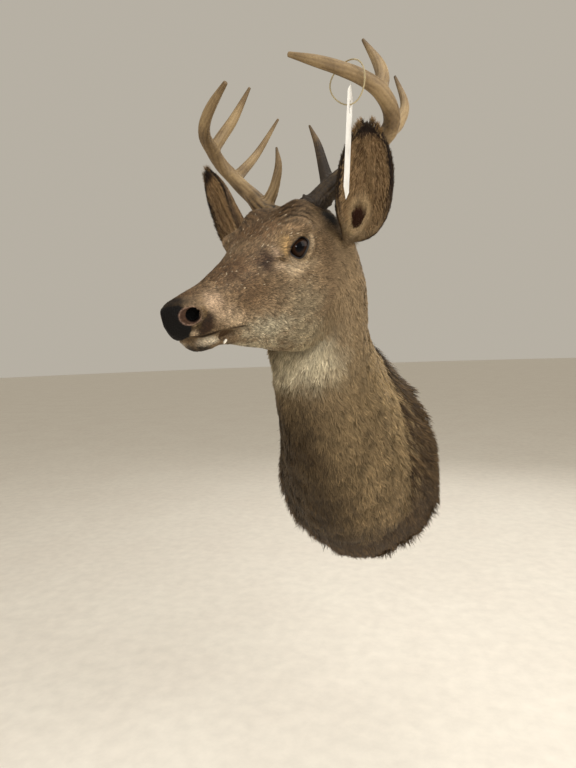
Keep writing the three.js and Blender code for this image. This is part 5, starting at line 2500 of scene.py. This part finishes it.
@dataclass(frozen=True)
class Lamp:
    """A square area light: its place and side in metres, its power in watts and its colour."""

    name: str
    at: Point
    size: float
    power: float
    colour: Point

    def build(self, lit: Point) -> None:
        """Hangs the light.

        Args:
            lit: the place that it looks at.
        """
        lamp = bpy.data.lights.new(self.name, "AREA")
        lamp.size = self.size
        lamp.energy = self.power
        lamp.color = self.colour
        obj = bpy.data.objects.new(self.name, lamp)
        obj.location = self.at
        obj.rotation_euler = (Vector(lit) - Vector(self.at)).to_track_quat("-Z", "Y").to_euler()
        bpy.context.scene.collection.objects.link(obj)


@dataclass(frozen=True)
class Studio:
    """Camera, soft lights, pale surround and floor."""

    camera_at: Point = (0.1864, -1.1400, 0.2144)
    right: Point = (0.960, 0.277, -0.035)
    down: Point = (-0.017, -0.066, -0.998)
    ahead: Point = (-0.279, 0.959, -0.058)
    lens: float = 36.0 * 577.0 / 768.0
    floor_level: float = -0.62
    lit: Point = (-0.03, -0.3, 0.15)
    lamps: tuple[Lamp, ...] = (
        Lamp("key", (1.95, -1.35, 1.55), 2.2, 66.0, (1.0, 0.98, 0.94)),
        Lamp("fill", (-1.9, -1.7, 0.7), 2.0, 0.8, (0.97, 0.98, 1.0)),
        Lamp("top", (0.2, -0.5, 2.2), 1.4, 12.0, (1.0, 0.98, 0.95)),
        Lamp("rear", (0.4, 2.2, 1.4), 2.0, 20.0, (1.0, 0.98, 0.95)),
        Lamp("sparkle", (-0.343, -1.56, 0.45), 0.12, 5.5, (1.0, 0.99, 0.97)),
    )

    def build(self) -> None:
        """Makes the set."""
        camera = bpy.data.objects.new("camera", bpy.data.cameras.new("camera"))
        camera.data.lens = self.lens
        camera.data.sensor_width = 36.0
        x, y, z = Vector(self.right), -Vector(self.down), -Vector(self.ahead)
        z.normalize()
        x = (x - z * x.dot(z)).normalized()
        y = z.cross(x)
        camera.matrix_world = Matrix.Translation(self.camera_at) @ Matrix((x, y, z)).transposed().to_4x4()
        camera.data.clip_start = 0.01
        bpy.context.scene.collection.objects.link(camera)
        bpy.context.scene.camera = camera
        bpy.context.scene.view_settings.view_transform = "Standard"
        for lamp in self.lamps:
            lamp.build(self.lit)
        self.surround()
        self.floor()

    def surround(self) -> None:
        """Even pale light from all round."""
        world = bpy.data.worlds.new("surround")
        bpy.context.scene.world = world
        world.use_nodes = True
        shade = world.node_tree.nodes["Background"]
        shade.inputs["Color"].default_value = rgba((226, 218, 203))
        shade.inputs["Strength"].default_value = 0.62

    def floor(self) -> None:
        """Pale floor: a flat disc whose rings lie ever further apart."""
        radius = np.array([0.0, 2.0, 5.0, 12.0, 30.0]) / MM
        rows, columns = len(radius), 64
        ring = circles(np.array([1.0, 0.0, 0.0]), np.array([0.0, 1.0, 0.0]), columns)
        p = radius[:, None, None] * ring + np.array([0, 0, self.floor_level / MM])
        made = make_object("floor", p.reshape(-1, 3), grid_faces(rows, columns, round_columns=True))
        cover = PlainFinish("floor_paint", (238, 232, 221), (234, 227, 216), 3.0, 0.85, relief=0.0002)
        made.data.materials.append(cover.make())


# ---------------------------------------------------------------- putting it together
def main() -> None:
    """Builds every piece in order."""
    logging.basicConfig(level=logging.INFO, format="%(name)s %(message)s")
    Studio().build()
    body = Body()
    skin = Skin(body, EARS, EYE)
    coat = Coat(body, EARS, EYE, skin, Markings())
    hide = skin.build()
    p, normal = points_of(hide)
    growth = coat.grow(p, normal)
    paint(hide, "mark", growth.colour)
    paint(hide, "bare", growth.bare)
    finishes = CoatFinish()
    flesh = ("nose", "muzzle", "lower_jaw", "head", "neck", "shoulders", "ear_left", "ear_right")
    finish_piece(hide, "coat", finishes.skin(), *flesh)
    made = coat.build(hide, growth, finishes.hair())
    LOG.info("coat: %d pieces, %d triangles", len(made), sum(len(o.data.polygons) for o in made))
    leather = PlainFinish("lid_leather", (20, 13, 9), (11, 8, 6), 300.0, 0.6, relief=0.0003).make()
    for side in Side:
        eye = EyePieces(EYE, side)
        eye.glass()
        eye.rim(leather)
        eye.lashes(leather)
    LipChip().build()
    bone = BoneFinish().make()
    parts = ("base", "beam_lower", "beam_upper", "beam_tip", "brow_tine", "second_tine", "third_tine")
    for side in Side:
        finish_piece(Antler(side).build(), "antler", bone, *(f"antler_{side.word}_{part}" for part in parts))
    Fittings().dress()


if __name__ == "__main__":
    main()
